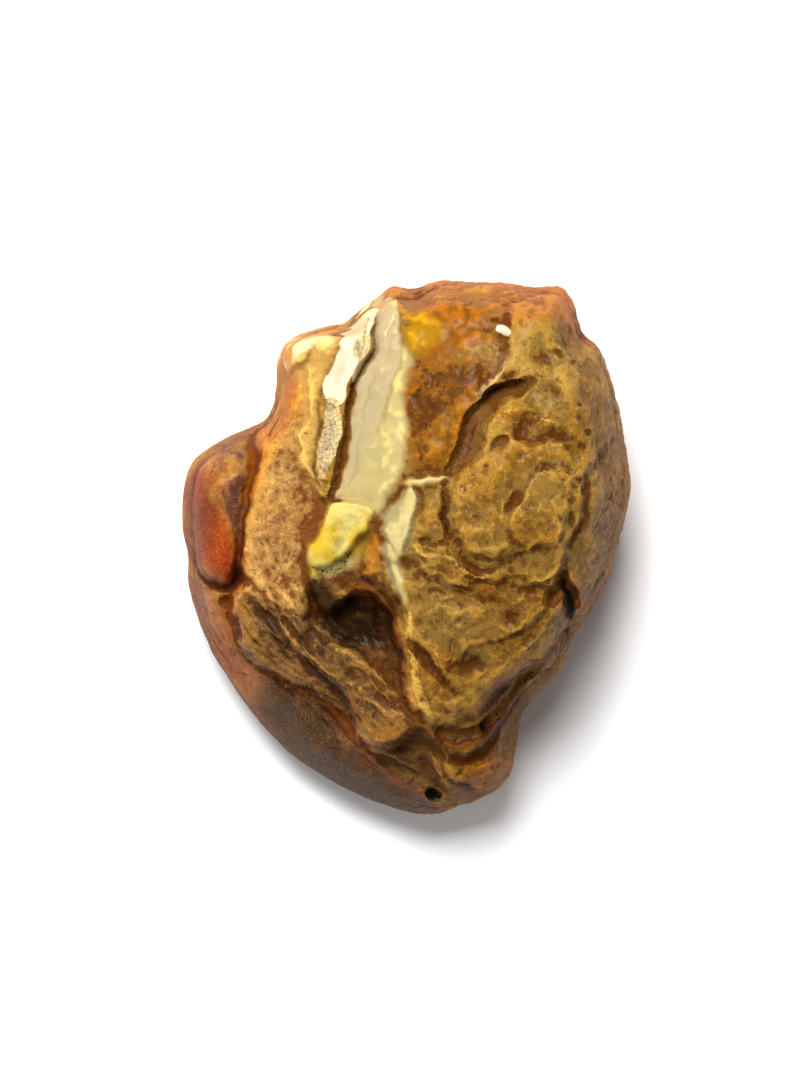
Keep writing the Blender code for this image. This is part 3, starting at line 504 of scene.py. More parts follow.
# yellow worn edges
lay("worn", 0.9, strokes=[
    [(-0.4, -7, 0.5), (0.6, -10, 0.8), (0.8, -14, 0.9), (1.4, -18, 0.9), (2.6, -21.6, 1.1),
     (4, -23, 0.6)],
    [(2.4, -12, 0.3), (4.6, -14.6, 0.5), (6.6, -14.4, 0.4), (10, -13.4, 0.4)],
    [(14.2, 16.6, 0.3), (17.4, 17.4, 0.6), (20.6, 16.4, 0.4)],
])
# painted highlights: thin light edges round the leaf
lay("edge_highlights", 0.5, strokes=[
    [(18.6, 10.2, 0.2), (16.6, 8.9, 0.4), (15.9, 7.4, 0.4), (14.9, 5.6, 0.4), (14.3, 4, 0.2)],
    [(22.3, 9.6, 0.1), (21.9, 7.8, 0.2), (21.5, 6, 0.2), (20.7, 3.4, 0.2), (20.0, 0.6, 0.3),
     (19, -2.6, 0.3)],
    [(13.4, 15.8, 0.2), (13.7, 14.4, 0.4), (14.8, 13.7, 0.2), (17, 13.2, 0.2), (19.6, 13.6, 0.2)],
    [(23.9, 9.8, 0.1), (23.6, 7, 0.2), (23.8, 5, 0.2), (22.8, 2.6, 0.2), (21.8, 0.3, 0.3)],
])
# painted shade in plum-brown along the core's lower edge and under the shawl's edge
lay("plum", 0.8, strokes=[
    [(18.6, -15.2, 0.6), (20.8, -12.6, 0.9), (21.4, -10.2, 0.6)],
    [(12.4, 13.2, 0.6), (13.2, 13.6, 0.4)],
])

# The slit in the crust: a gape along the edge of the sheet, steep on its left and shelving on its
# right, with a crack that carries on from it and a pale splinter along its head.
grooves += [
    # the raised rim along the slit
    (-0.9, 0.7, 1.6, [(8.4, 11.6), (9.6, 13.8), (11.2, 16), (13.2, 17.4), (15, 18.8), (16.4, 21.2)]),
    # the slit itself
    (1.7, 0.6, 1.5, [(5.3, 9.8), (6, 11.3), (7, 13), (8, 15.2), (9, 17.3), (10.5, 19), (12.5, 20.7),
                     (14.3, 21.8), (15.8, 22.7)]),
    # the crack
    (0.7, 0.4, 0.4, [(5.5, 9.6), (5.1, 8), (4.9, 5), (4.9, 3.5), (5.2, 0.6)]),
    (0.9, 0.5, 0.3, [(1.8, 0.9), (3, 0.4), (4, 0.2), (5.4, 0.6)]),
    (0.7, 0.5, 0.3, [(5.2, 1.2), (6.5, 2.4)]),
]
dents += [
    (13.5, 22.9, 1.4, 0.9, 35, 0.7),
]
lay("splinter", 0.35, areas=[
    [(9.4, 19), (10.4, 21.2), (11.5, 23.4), (12.0, 25.8), (12.9, 25.6), (12.7, 23.6), (11.9, 21.5),
     (10.4, 19.3)],
])
# painted shade: black in the cracks
lay("deep_shade", 0.28, strokes=[
    [(15.6, 22.7, 0.02), (14.3, 21.8, 0.1), (12.5, 20.7, 0.15), (10.5, 19, 0.1), (9, 17.3, 0.06),
     (7, 13, 0.08), (5.3, 9.8, 0.08)],
    [(5.5, 9.3, 0.05), (5.1, 8, 0.08), (4.9, 5, 0.12), (4.9, 3.5, 0.12), (5.2, 0.8, 0.05)],
])
# the brown speckled skin left of the slit
lay("umber", 1.6, areas=[
    [(-0.4, 21), (0.6, 25.4), (4, 25.2), (9, 25.6), (12.2, 25), (10.6, 22), (8.4, 19.4), (5.6, 17.6),
     (4.2, 14), (4.6, 10.8), (1.2, 10.6), (0.4, 13), (-1, 15.4), (-1.0, 18)],
], strokes=[
    [(9, 27.6, 0.5), (11.6, 28, 0.7)],
])
lay("rust", 1.4, strokes=[
    [(11, 22.4, 0.5), (9.4, 20.4, 0.9), (7.4, 17, 1.5), (5.6, 13.4, 1.3), (4.6, 11, 0.8)],
])
lay("orange", 1.4, strokes=[
    [(4.5, 22.4, 0.5), (6.6, 21, 0.7), (8.2, 19.6, 0.6)],
])
# painted shade in plum-brown along the slit
lay("plum", 0.8, strokes=[
    [(10.6, 18.4, 0.5), (8.9, 15.8, 0.75), (7.4, 12.8, 0.75), (6, 10.6, 0.5)],
])
lay("stain", 0.9, strokes=[
    [(12.6, 22.6, 0.7), (14.4, 23.6, 0.4)],
])
lay("worn", 0.9, strokes=[
    [(9.4, 15, 0.4), (12.4, 17.4, 0.6), (15.4, 19.4, 0.5), (16.4, 22, 0.4)],
    [(12.7, 25.6, 0.3), (12.2, 23.4, 0.4), (10.8, 21.2, 0.4), (9.6, 19.2, 0.3)],
])

# The nose at the sheet's left end: a fresh greenish face, with a pale edge above it and another
# that runs down from it.
grooves += [
    # the line between the nose's face and the block beside it
    (0.5, 0.5, 0.4, [(1.0, 9.2), (1.8, 6.8), (1.5, 4), (0.4, 1.6), (-0.2, -0.6)]),
]
lay("jade", 0.7, areas=[
    [(-3.5, 4.4), (-2.2, 6.4), (-0.6, 7.8), (1.2, 8.2), (1.6, 5), (0.8, 2), (-0.6, -0.6), (-2.2, 0.6)],
    [(0.2, 9.7), (4.8, 9.5), (4.6, 8.8), (0.6, 8.6)],
], strokes=[
    [(-2.6, 0.6, 0.8), (-1.6, -3, 0.9), (-0.4, -7, 0.3)],
])
lay("stain", 0.9, strokes=[
    [(1.8, 8.6, 0.3), (2.4, 5, 0.5), (4.6, 3, 0.4)],
    [(0, 2.4, 0.3), (0.6, 5.4, 0.3)],
])

# The fold below the sheet's lip: crust that crumpled while it was soft.
grooves += [
    # its upper line
    (0.7, 0.9, 0.3, [(6.8, -0.4), (8, -2), (9.4, -2.5), (11.8, -2.2)]),
]
CRUMPLES = 0.45
FOLD = [
    (0.6, 0.6), (5, 0.4), (7, -1.6), (10, -2.4), (13, -2.8), (17, -3.6), (19.6, -4.4), (18, -6.8),
    (13, -6.8), (9, -6.4), (4, -6), (1.6, -4),
]
lay("stain", 0.9, strokes=[
    [(1.4, -1.8, 0.5), (2.6, -4, 0.6), (4.6, -5.2, 0.5), (8, -5.6, 0.5), (11, -5.2, 0.4)],
    [(11.5, -6, 0.7), (14.5, -6, 0.9), (17.5, -6.6, 1.2)],
])
lay("orange", 1.4, strokes=[
    [(10, -5.2, 0.7), (11.4, -5, 0.4)],
])
lay("worn", 0.9, strokes=[
    [(1.2, 0.4, 0.5), (3, -1, 0.9), (6, -1.6, 0.7), (8.4, -3.2, 0.6), (9.6, -3.8, 0.4)],
])

# The cleft in the right flank, in two strokes.
grooves += [
    (2.0, 0.8, 1.0, [(20.6, -2.6), (20.3, -4.6), (18.8, -7.2)]),
    (2.6, 0.9, 0.9, [(21, -3.4), (21.9, -6.6), (22.4, -9.4), (22.8, -12)]),
]
dents += [
    (27.6, -3.8, 0.7, 2.2, -15, 1.6),
]
# painted shade: black in the cleft
lay("deep_shade", 0.28, strokes=[
    [(20.8, -3.6, 0.2), (21.6, -6, 0.35), (22.3, -9, 0.3), (22.7, -11.6, 0.1)],
])


class Break:
    """A shell-shaped break: everything above a hollow, sloping strip of surface is gone.

    The strip runs along a line turned from Y, climbs across that line to the right, is hollow
    across and bends down along it. reach is how far it runs left, right, back and front.
    """

    def __init__(self, middle, turn, climb, hollow, bend, reach):
        self.middle = middle
        self.turn = math.radians(turn)
        self.climb = climb
        self.hollow = hollow
        self.bend = bend
        self.reach = reach

    def shape(self, z, x, y):
        c, s = math.cos(self.turn), math.sin(self.turn)
        dx, dy = x - self.middle[0], y - self.middle[1]
        across, along = dx * c + dy * s, dy * c - dx * s
        shell = self.middle[2] + self.climb * across
        shell += across**2 / (2 * self.hollow) - along**2 / (2 * self.bend)
        left, right, back, front = self.reach
        within = (across > -left) & (across < right) & (along > -back) & (along < front)
        return np.where(within, np.minimum(z, shell), z)


# The trough down the middle: a fresh shell-shaped break with a smooth cream floor, yellower below.
# Beside it stands the pale slab, ivory above and crackled below, with a fibrous chip.
trough = Break((-4.7, 17, 27.9), turn=-12, climb=0.42, hollow=7.5, bend=70, reach=(3.2, 6, 13, 22))
bar = Flow(
    [(-3.8, 34.8, 0.8, 0.5), (-4.2, 28, 1.2, 0.4), (-5.8, 24.8, 1.2, 0.4), (-7.3, 21.5, 1.2, 0.4),
     (-8.1, 17.5, 1.2, 0.4), (-8.7, 13, 1.2, 0.4), (-9.3, 9.4, 1.2, 0.5), (-10.4, 8.7, 1.2, 0.6),
     (-12, 10, 1, 0.6), (-12.3, 13, 1, 0.5), (-11.7, 17, 1, 0.5), (-11.2, 21, 0.9, 0.5),
     (-9.8, 26.2, 0.9, 0.5), (-8, 30, 0.8, 0.5), (-6.6, 33.4, 0.8, 0.6)],
    crest=(-9, 18, 28.5), tilt=(0.12, 0.02), bend=(26, 70),
)
forms += [trough, bar]
grooves += [
    # the split between the slab and the trough
    (0.5, 0.3, 0.3, [(-3.9, 27), (-5.5, 24.4), (-6.9, 21), (-7.8, 17), (-8.3, 13), (-8.8, 9.4),
                     (-9.2, 6.2)]),
]
FRESH = [
    (-12.4, 8), (-12, 18), (-10.4, 26), (-5, 36), (0, 34), (7, 31.5), (9.5, 26), (6, 19), (3.4, 13),
    (0, 10), (-2, 8), (-4, 2), (-9, 2),
]
lay("cream", 0.7, areas=[
    [(-4.0, 34.6), (-4.1, 27.5), (-6, 23.5), (-7, 18), (-7.6, 14), (-8.2, 10.5), (-8.8, 7), (-7.4, 8.4),
     (-5.8, 11), (-4.4, 13), (-3.2, 17), (-2.3, 20), (-1.4, 24), (-1.0, 28), (-1.5, 34.6)],
])
lay("butter", 0.8, areas=[
    [(-8.8, 6.6), (-7.6, 10), (-6, 12.6), (-4, 15.5), (-2.6, 19), (-1.6, 23), (-1, 27), (0, 26),
     (-0.4, 20), (0.2, 16), (0, 13), (-1.6, 9.6), (-3, 7.4), (-4.4, 4.6), (-6.4, 5.6)],
])
lay("ivory", 0.35, areas=[
    [(-9.5, 25.6), (-8, 29.2), (-6.2, 32.2), (-4.3, 33.6), (-4.3, 28), (-5.5, 26), (-6, 24.4),
     (-7.3, 22.4), (-8, 20), (-9.5, 19.5), (-10.8, 21.3), (-10.2, 24)],
])
lay("crackle", 0.35, strokes=[
    [(-9.5, 19.6, 1.0), (-10, 16, 1.4), (-10.5, 13, 1.4), (-11.2, 10.4, 0.9)],
])
lay("chip", 0.4, areas=[
    [(-6.2, 28.6), (-4.6, 29.2), (-4.3, 27), (-5.6, 25.6), (-7, 25.6), (-7.0, 27)],
])
# brown along the foot of the strip
lay("wood", 0.3, strokes=[
    [(-4.4, 26.8, 0.1), (-5.8, 24.6, 0.1), (-7.2, 21.4, 0.15), (-8, 17.5, 0.2), (-8.6, 13.6, 0.3),
     (-9.0, 10.6, 0.3), (-9.4, 6.6, 0.4)],
    [(-11.6, 20, 0.1), (-11.9, 16, 0.2), (-12.1, 12, 0.2), (-12, 9, 0.3), (-10.8, 8, 0.3)],
])
lay("glow", 1.6, strokes=[
    [(-7.4, 11.5, 0.3), (-7.8, 9, 0.6)],
])

# The yellow lump below the trough: clear greenish-yellow resin, golden at its right, with black
# and grey specks thick along its lower edge.
lump = Flow(
    [(-10.2, 5.9, 1.4, 0.6), (-9, 6.5, 0.9, 0.5), (-6.8, 6.2, 0.5, 0.6), (-4.6, 5, 0.5, 1),
     (-4.9, 3, 1.2, 1.2), (-6.6, 0.4, 2.0, 1.0), (-8.4, -1.6, 2.0, 1.0), (-10.6, -2.8, 2.4, 1.0),
     (-13, -3.3, 2.6, 1.0), (-13.6, -1.2, 2.4, 1.0), (-12.2, 2.3, 2.2, 0.7)],
    crest=(-9, 1.5, 28.0), tilt=(0.25, 0.26), bend=(30, 18),
)
forms += [lump]
lay("lemon", 1.0, areas=[
    [(-10.6, 5.6), (-8.4, 6.2), (-6, 5), (-4.8, 3.2), (-5.2, 1.2), (-6.0, -0.9), (-8.2, -2.6),
     (-10.6, -3.7), (-13.2, -3.4), (-12.6, 1), (-11.4, 3.6)],
])
lay("glow", 1.6, strokes=[
    [(-4.4, 2.2, 0.5), (-4.6, 0, 0.9), (-5.6, -2.0, 0.6)],
])
lay("specks", 1.0, strokes=[
    [(-13.2, -2.4, 0.8), (-11, -3, 1.4), (-8.6, -2, 1.4), (-6.8, 0.4, 0.9), (-6, 2, 0.5)],
])

# The bottom end: the lip of a lower flow, a spur and the bottom lobe, all of smooth ochre resin.
lower_lip = Flow(
    [(0.6, -21.6, 2, 1.0), (1.6, -24.8, 2.6, 1.0), (2.7, -26.3, 2.6, 1.0), (4.2, -27.0, 2.6, 1.0),
     (5.8, -27.7, 2.6, 1.0), (8.2, -28.1, 2.6, 1.1), (10.4, -27.2, 2.8, 1.2), (12.6, -25.4, 3, 1.3),
     (14.2, -23.8, 3.2, 1.4), (17, -21.6, 3.4, 1.6), (26, -18, 2, 2), (24, -8, 1, 1), (8, -16, 1, 1)],
    crest=(10, -21, 23.4), tilt=(0.03, 0.10), bend=(60, 60),
)
spur = Flow(
    [(0.8, -24.4, 1.6, 0.8), (1.7, -27.2, 2, 0.9), (2.6, -29.9, 2.2, 0.9), (4.4, -32.3, 2.4, 1),
     (7, -34.6, 2.4, 1), (11, -38, 1, 1), (14, -32, 1, 1), (8, -24, 1, 1)],
    crest=(4, -29, 18.6), tilt=(0.02, 0.18), bend=(14, 60),
)
bottom_lobe = Flow(
    [(4.5, -25.4, 1.2, 0.7), (4.8, -28, 1.2, 0.6), (5, -29.6, 1.2, 0.6), (5.8, -31, 1.2, 0.6),
     (7.2, -31.9, 1, 0.6), (9, -33, 0.8, 0.8), (12, -38, 1, 1), (20, -38, 1, 1), (20, -20, 1, 1),
     (8, -20, 1, 1)],
    crest=(9, -28, 20.2), tilt=(0.0, 0.20), bend=(34, 60),
)
forms += [lower_lip, spur, bottom_lobe]
grooves += [
    # hollows under the lips
    (1.1, 0.8, 1.0, [(3, -24.8), (6, -25.2), (9.6, -24.4), (12.6, -21.8), (16, -19), (20.2, -15)]),
    (0.5, 0.5, 0.5, [(0.4, -26), (2.4, -27.4), (5, -28.6), (7.8, -28.9), (10.6, -28), (14, -25.4)]),
]
dents += [
    (10.7, -24.0, 0.7, 0.9, -20, 1.8), (4.6, -24.9, 1.0, 0.5, 0, 1.2), (3.9, -34.3, 1.5, 0.9, -20, 1.6),
]
# painted shade: warm brown in the hollows under the lips
lay("arch", 1.0, strokes=[
    [(1.4, -23.8, 0.4), (3.6, -25.4, 0.8), (6.6, -26.2, 1.1), (9.6, -25.6, 1.1), (12.6, -23, 0.8),
     (16, -20, 0.5)],
])
lay("rust", 1.4, strokes=[
    [(8.6, -29.4, 1.4), (11.2, -30.4, 2.4), (9.4, -33.4, 1.6)],
])
# painted shade in plum-brown under the lips
lay("plum", 0.8, strokes=[
    [(10.0, -21.6, 0.9), (13.4, -19.6, 1.1), (16, -18, 0.5)],
    [(5.0, -24.9, 0.6), (9.4, -24.2, 0.8)],
])
lay("stain", 0.9, strokes=[
    [(9, -28.8, 0.4), (11.6, -27.6, 0.3)],
    [(4.4, -26, 0.5), (8, -26.6, 0.8), (11.4, -25.4, 0.8)],
])
# painted shade: black in two holes, under the lip and at the bottom end
lay("deep_shade", 0.28, strokes=[
    [(10.4, -23.6, 0.3), (10.8, -24.2, 0.3)],
    [(3.2, -34.2, 0.5), (4.6, -34.6, 0.4)],
])


def groove_depth(x, y, depth, left, right, points):
    """A groove along a curve, deepest in its line and running out at both ends."""
    curve = rounded(points, closed=False)
    cut = np.zeros(len(x))
    ends = len(curve) - 1
    for i, (a, b) in enumerate(zip(curve[:-1], curve[1:])):
        distance, along = to_segment(x, y, a, b)
        side = (b[0] - a[0]) * (y - a[1]) - (b[1] - a[1]) * (x - a[0])
        width = np.where(side > 0, left, right)
        run = (i + along) / ends
        full = np.clip(6 * np.minimum(run, 1 - run) + 0.15, 0, 1)
        cut = np.maximum(cut, depth * full * np.clip(1 - distance / width, 0, 1) ** 0.8)
    return cut


def dent_depth(x, y, cx, cy, half_width, half_length, turn, depth):
    """An oval dent that runs out softly at its border."""
    c, s = math.cos(math.radians(turn)), math.sin(math.radians(turn))
    u = ((x - cx) * c + (y - cy) * s) / half_width
    v = ((y - cy) * c - (x - cx) * s) / half_length
    return depth * np.clip(1 - 0.85 * (u**2 + v**2), 0, 1) ** 2


def grain(x, y, scale, octaves, seed, turn=0.0, stretch=1.0):
    """Fractal noise of about -1 to 1, drawn out along a direction if stretch is above 1."""
    c, s = math.cos(math.radians(turn)), math.sin(math.radians(turn))
    u = (x * c + y * s) / (scale * stretch)
    v = (y * c - x * s) / scale
    values = [noise.fractal((a, b, seed), 1.0, 2.0, octaves) for a, b in zip(u, v)]
    return np.array(values)


def area(x, y, outline, soft=1.2):
    """How far a point lies within a closed outline: 0.5 on it, 0 and 1 at soft mm either way."""
    curve = rounded(outline, steps=3)
    distance = np.full(len(x), 1e3)
    for a, b in zip(curve, np.roll(curve, -1, 0)):
        distance = np.minimum(distance, to_segment(x, y, a, b)[0])
    signed = np.where(is_inside(x, y, curve), distance, -distance)
    return np.clip(0.5 + signed / (2 * soft), 0, 1)


def drifted(x, y):
    """The point each one's forms and colours are read from, so that no edge is a drawn curve."""
    shift_x = 0.8 * grain(x, y, 7.0, 3, seed=3.1) + 0.3 * grain(x, y, 1.7, 2, seed=4.4)
    shift_y = 0.8 * grain(x, y, 7.0, 3, seed=8.7) + 0.3 * grain(x, y, 1.7, 2, seed=9.9)
    return x + shift_x, y + shift_y


def girdle_height(x, y):
    return GIRDLE_HEIGHT + GIRDLE_TILT_X * x + GIRDLE_TILT_Y * y


def roundness(x, y):
    """How far the upper side has risen from the girdle, 0 to 1, and each point's inset from it."""
    curve = rounded(GIRDLE)
    risen = np.ones(len(x))
    inset = np.full(len(x), 1e3)
    for a, b in zip(curve, np.roll(curve, -1, 0)):
        distance, along = to_segment(x, y, a, b)
        roll = a[2] + along * (b[2] - a[2])
        risen = np.minimum(risen, quarter_round(distance / roll))
        inset = np.minimum(inset, distance)
    return risen, inset


# The upper side is all of these forms, one after the other, with a swell and creases over
# everything but the fresh break
SWELL = 0.8
CREASES = 0.15


def upper_side(x, y):
    """Height of the upper side above the floor, and how far in from the girdle each point lies."""
    risen, inset = roundness(x, y)
    girdle = girdle_height(x, y)
    x, y = drifted(x, y)
    z = np.zeros(len(x))
    for form in forms:
        z = form.shape(z, x, y)
    for depth, left, right, points in grooves:
        z -= groove_depth(x, y, depth, left, right, points)
    for dent in dents:
        z -= dent_depth(x, y, *dent)
    creases = 1 - 2 * np.abs(grain(x, y, 9.0, 3, seed=5.3, turn=-40, stretch=2.2))
    swell = SWELL * grain(x, y, 9.0, 2, seed=1.9) + CREASES * creases
    z += (swell + LUMPS * grain(x, y, 5.6, 2, seed=2.7)) * (1 - 0.8 * area(x, y, FRESH, 1.5))
    strands = 1 - 2 * np.abs(grain(x, y, 3.4, 3, seed=7.4, turn=-42, stretch=3.0))
    z += STRANDS * strands * area(x, y, STEPS, 2.5)
    crumples = 1 - 2 * np.abs(grain(x, y, 2.4, 3, seed=3.9, turn=-14, stretch=2.0))
    z += CRUMPLES * crumples * area(x, y, FOLD, 1.0)
    return girdle + np.maximum(z - girdle, 1) * risen, inset


# The underside: rounded and worn, with old breaks, and a flat spot that the lump rests on
UNDERSIDE_ROLL = 34.0
UNDERSIDE_DEPTH = 0.9
FLAT_SPOT = 12.0
RIM_ROLL = 10
RIM_DROP = 8

# Old breaks: the direction each faces, how far along it the break starts, how steeply it climbs
UNDERSIDE_BREAKS = [(205, 11, 0.42), (140, 13, 0.5), (25, 12, 0.38), (300, 14, 0.36), (80, 17, 0.55)]


def underside(x, y, inset):
    """Height of the underside, which dips below the floor where the flat spot is cut."""
    girdle = girdle_height(x, y)
    z = girdle - (girdle + UNDERSIDE_DEPTH) * quarter_round(inset / UNDERSIDE_ROLL)
    rolled = girdle - RIM_DROP * quarter_round(inset / RIM_ROLL)
    outer = 1 - np.exp(-(x**2 + y**2) / FLAT_SPOT**2)
    bumps = 1.5 * grain(x, y, 13.0, 3, seed=6.6) * np.clip(inset / 6, 0, 1) * outer
    for turn, start, climb in UNDERSIDE_BREAKS:
        reach = x * math.cos(math.radians(turn)) + y * math.sin(math.radians(turn))
        z = np.maximum(z, np.minimum(climb * (reach - start) - UNDERSIDE_DEPTH, rolled))
    return np.minimum(z + bumps, girdle)


# The mesh is made of rings of points: how many lie on the flat of each side and on its wall, which
# starts RIM of the way out, and how far apart the points of a ring are
RIM = 0.86
REACH_OF_GIRDLE = 34.0
UPPER_RINGS = 112
UPPER_WALL = 50
UPPER_GAP = 0.27
UNDER_RINGS = 44
UNDER_WALL = 22
UNDER_GAP = 0.5


def girdle_reach(angle):
    """How far out the girdle lies in each direction from the middle, exactly on its curve."""
    curve = rounded(GIRDLE)[:, :2]
    turns = np.arctan2(curve[:, 1], curve[:, 0]) % (2 * math.pi)
    order = np.argsort(turns)
    curve, turns = curve[order], turns[order]
    after = np.searchsorted(turns, angle) % len(curve)
    a, b = curve[after - 1], curve[after]
    run = b - a
    area_ab = a[:, 0] * b[:, 1] - a[:, 1] * b[:, 0]
    return area_ab / (np.cos(angle) * run[:, 1] - np.sin(angle) * run[:, 0])


def ring_faces(first, first_count, second, second_count):
    """Triangles that join a ring of points to the next, whose counts may differ."""
    faces = []
    i = j = 0
    while i < second_count or j < first_count:
        low, high = first + j % first_count, second + i % second_count
        if (i + 1) * first_count <= (j + 1) * second_count:
            faces.append((high, second + (i + 1) % second_count, low))
            i += 1
        else:
            faces.append((high, first + (j + 1) % first_count, low))
            j += 1
    return faces


def mesh_points(mesh):
    """The points of a mesh as rows of x, y, z."""
    points = np.empty(len(mesh.vertices) * 3, np.float32)
    mesh.vertices.foreach_get("co", points)
    return points.reshape(-1, 3).astype(float)


def set_points(mesh, points):
    mesh.vertices.foreach_set("co", points.astype(np.float32).ravel())
    mesh.update()


def point_normals(mesh):
    normals = np.empty(len(mesh.vertices) * 3, np.float32)
    mesh.vertex_normals.foreach_get("vector", normals)
    return normals.reshape(-1, 3).astype(float)


def edge_ends(mesh):
    """The two points each edge of the mesh joins."""
    ends = np.empty(len(mesh.edges) * 2, np.int32)
    mesh.edges.foreach_get("vertices", ends)
    return ends.reshape(-1, 2)


def neighbour_mean(values, ends, times):
    """Values at the mesh's points, each time averaged with those at the other ends of its edges."""
    count = len(values)
    degree = np.bincount(ends.ravel(), minlength=count)
    for _ in range(times):
        total = np.bincount(ends[:, 0], values[ends[:, 1]], count)
        total += np.bincount(ends[:, 1], values[ends[:, 0]], count)
        values = 0.5 * values + 0.5 * total / degree
    return values


# Blender's vector noise differs from run to run unless its seed is set
noise.seed_set(7)


def wander(points, scale, seed):
    """A smooth random shift of each point, at most about 1 each way. scale is its grain in 3-D."""
    scaled = points / np.array(scale, float) + seed
    return np.array([noise.noise_vector(point) for point in scaled.tolist()])


def worn_sides(points, normals, inset):
    """The points with the sides worn back into ledges and lumps, all inside the girdle."""
    above = points[:, 2] - girdle_height(points[:, 0], points[:, 1])
    away = np.clip(np.abs(above) / 5, 0, 1)
    away *= np.where(above < 0, 1, 0.35 * np.clip(1 - inset / 7, 0, 1))
    pulled_in = 1 - 0.07 * away * np.clip(0.5 + wander(points, (9, 9, 9), 4.1)[:, 0], 0, 1)
    points = points * np.stack([pulled_in, pulled_in, np.ones(len(points))], 1)
    ledges = np.clip(0.4 + wander(points, (15, 15, 4.5), 7.9)[:, 0], 0, 1)
    lumps = np.clip(0.4 + wander(points, (6, 6, 6), 2.3)[:, 0], 0, 1)
    worn = (1 - normals[:, 2] ** 2) * away * (2.2 * ledges + 1.1 * lumps)
    return points - normals * worn[:, None]


def rings_of_points():
    """The nugget as rings of points, out over the top, past the girdle and in below, in millimetres."""
    out, gaps = [], []
    for flat, wall, gap in ((UPPER_RINGS, UPPER_WALL, UPPER_GAP), (UNDER_RINGS, UNDER_WALL, UNDER_GAP)):
        side = [RIM * k / flat for k in range(1, flat + 1)]
        side += [RIM + (1 - RIM) * math.sin(math.pi / 2 * k / wall) for k in range(1, wall + 1)]
        out += side if gap == UPPER_GAP else side[-2::-1]
        gaps += [gap] * (len(out) - len(gaps))
    counts = [max(6, round(2 * math.pi * REACH_OF_GIRDLE * share / gap)) for share, gap in zip(out, gaps)]
    turns = [2 * math.pi * np.arange(count) / count for count in counts]
    angle = np.concatenate([[0.0]] + turns + [[0.0]])
    share = np.concatenate([[0.0]] + [np.full(count, ring) for ring, count in zip(out, counts)] + [[0.0]])
    radius = share * girdle_reach(angle)
    starts = np.cumsum([1] + counts)
    upper_rings = UPPER_RINGS + UPPER_WALL
    is_upper = np.arange(len(angle)) < starts[upper_rings]
    faces = [(0, 1 + i, 1 + (i + 1) % counts[0]) for i in range(counts[0])]
    for k in range(len(counts) - 1):
        faces += ring_faces(int(starts[k]), counts[k], int(starts[k + 1]), counts[k + 1])
    last = int(starts[-2])
    faces += [(int(starts[-1]), last + (i + 1) % counts[-1], last + i) for i in range(counts[-1])]
    x, y = radius * np.cos(angle), radius * np.sin(angle)
    top, inset = upper_side(x, y)
    points = np.stack([x, y, np.where(is_upper, top, underside(x, y, inset))], 1)
    mesh = bpy.data.meshes.new("nugget")
    mesh.from_pydata(points.tolist(), [], faces)
    ends = edge_ends(mesh)
    steep = np.where(is_upper, np.clip(1.5 - 1.8 * point_normals(mesh)[:, 2], 0, 1), 0)
    steep = np.clip(2 * neighbour_mean(steep, ends, 2), 0, 1)
    eased = np.stack([neighbour_mean(column, ends, 6) for column in points.T], 1)
    points += (eased - points) * steep[:, None]
    set_points(mesh, points)
    points = worn_sides(points, point_normals(mesh), inset)
    points[:, 2] = np.maximum(points[:, 2], 0)
    set_points(mesh, points)
    return mesh


# The finished form, fitted to the CAD model's box
nugget_mesh = rings_of_points()
points = mesh_points(nugget_mesh)
low, high = points.min(0), points.max(0)
points[:, :2] -= (low[:2] + high[:2]) / 2
cad_size = np.array(cad_box[1]) - np.array(cad_box[0])
points *= cad_size / MM / (high - low)
set_points(nugget_mesh, points)
normals = point_normals(nugget_mesh)


def fractal(points, scale, octaves, seed):
    """Fractal noise of about -1 to 1 in space."""
    scaled = points / np.array(scale, float) + seed
    return np.array([noise.fractal(point, 1.0, 2.0, octaves) for point in scaled.tolist()])


def stroke(x, y, points, soft=1.0):
    """How far a point lies within a band along a curve of x, y and half the band's width there."""
    curve = rounded(points, closed=False, steps=3)
    value = np.zeros(len(x))
    for a, b in zip(curve[:-1], curve[1:]):
        distance, along = to_segment(x, y, a, b)
        half = a[2] + along * (b[2] - a[2])
        value = np.maximum(value, np.clip(0.5 + (half - distance) / (2 * soft), 0, 1))
    return value


def painted(x, y, areas=(), strokes=(), soft=1.0):
    """How far a point lies within any of a patch's outlines and bands."""
    value = np.zeros(len(x))
    for outline in areas:
        value = np.maximum(value, area(x, y, outline, soft))
    for points in strokes:
        value = np.maximum(value, stroke(x, y, points, soft))
    return value


# Where each kind of surface lies on the mesh. On the steep walls the borders wander in depth too
WALL_WANDER = 3.5
on_wall = np.clip(1.1 - 2 * normals[:, 2], 0, 1)[:, None]
moved = points + WALL_WANDER * on_wall * wander(points, (7, 7, 4), 12.3)
paint_x, paint_y = drifted(moved[:, 0], moved[:, 1])
patches = {name: painted(paint_x, paint_y, **ground) for name, ground in grounds.items()}


def strongest(*names):
    """The highest of some patches' values at each point."""
    return np.maximum.reduce([patches[name] for name in names])


# The skin's relief, which differs from zone to zone: smooth where the resin is fresh or worn,
# drawn out in grain along the steps, gently bumpy and pitted on the dome
DEEPEST_RELIEF = 1.4
x, y = points[:, 0], points[:, 1]
fresh = strongest("cream", "butter", "ivory", "lemon", "milk", "jade")
smooth = np.maximum(fresh, 0.9 * strongest("orange", "amber", "lobe", "skin"))
rough = 0.15 * fractal(points, 2.6, 4, 11.0) + 0.12 * fractal(points, 1.0, 3, 21.0)
on_steps = np.clip(patches["steps"] - 0.5 * patches["pocket"], 0, 1)
along_steps = grain(x, y + points[:, 2], 1.5, 5, seed=31, turn=-40, stretch=3.2)
ledges = np.abs(along_steps) + 0.25 * fractal(points, 0.9, 3, 5.0)
sunk = (rough + 0.16) * (1 - 0.9 * smooth) + 0.5 * ledges * on_steps
on_dome = 1 - np.clip(patches["left"] + fresh, 0, 1)
bumps = fractal(points, 3.4, 2, 41.0)
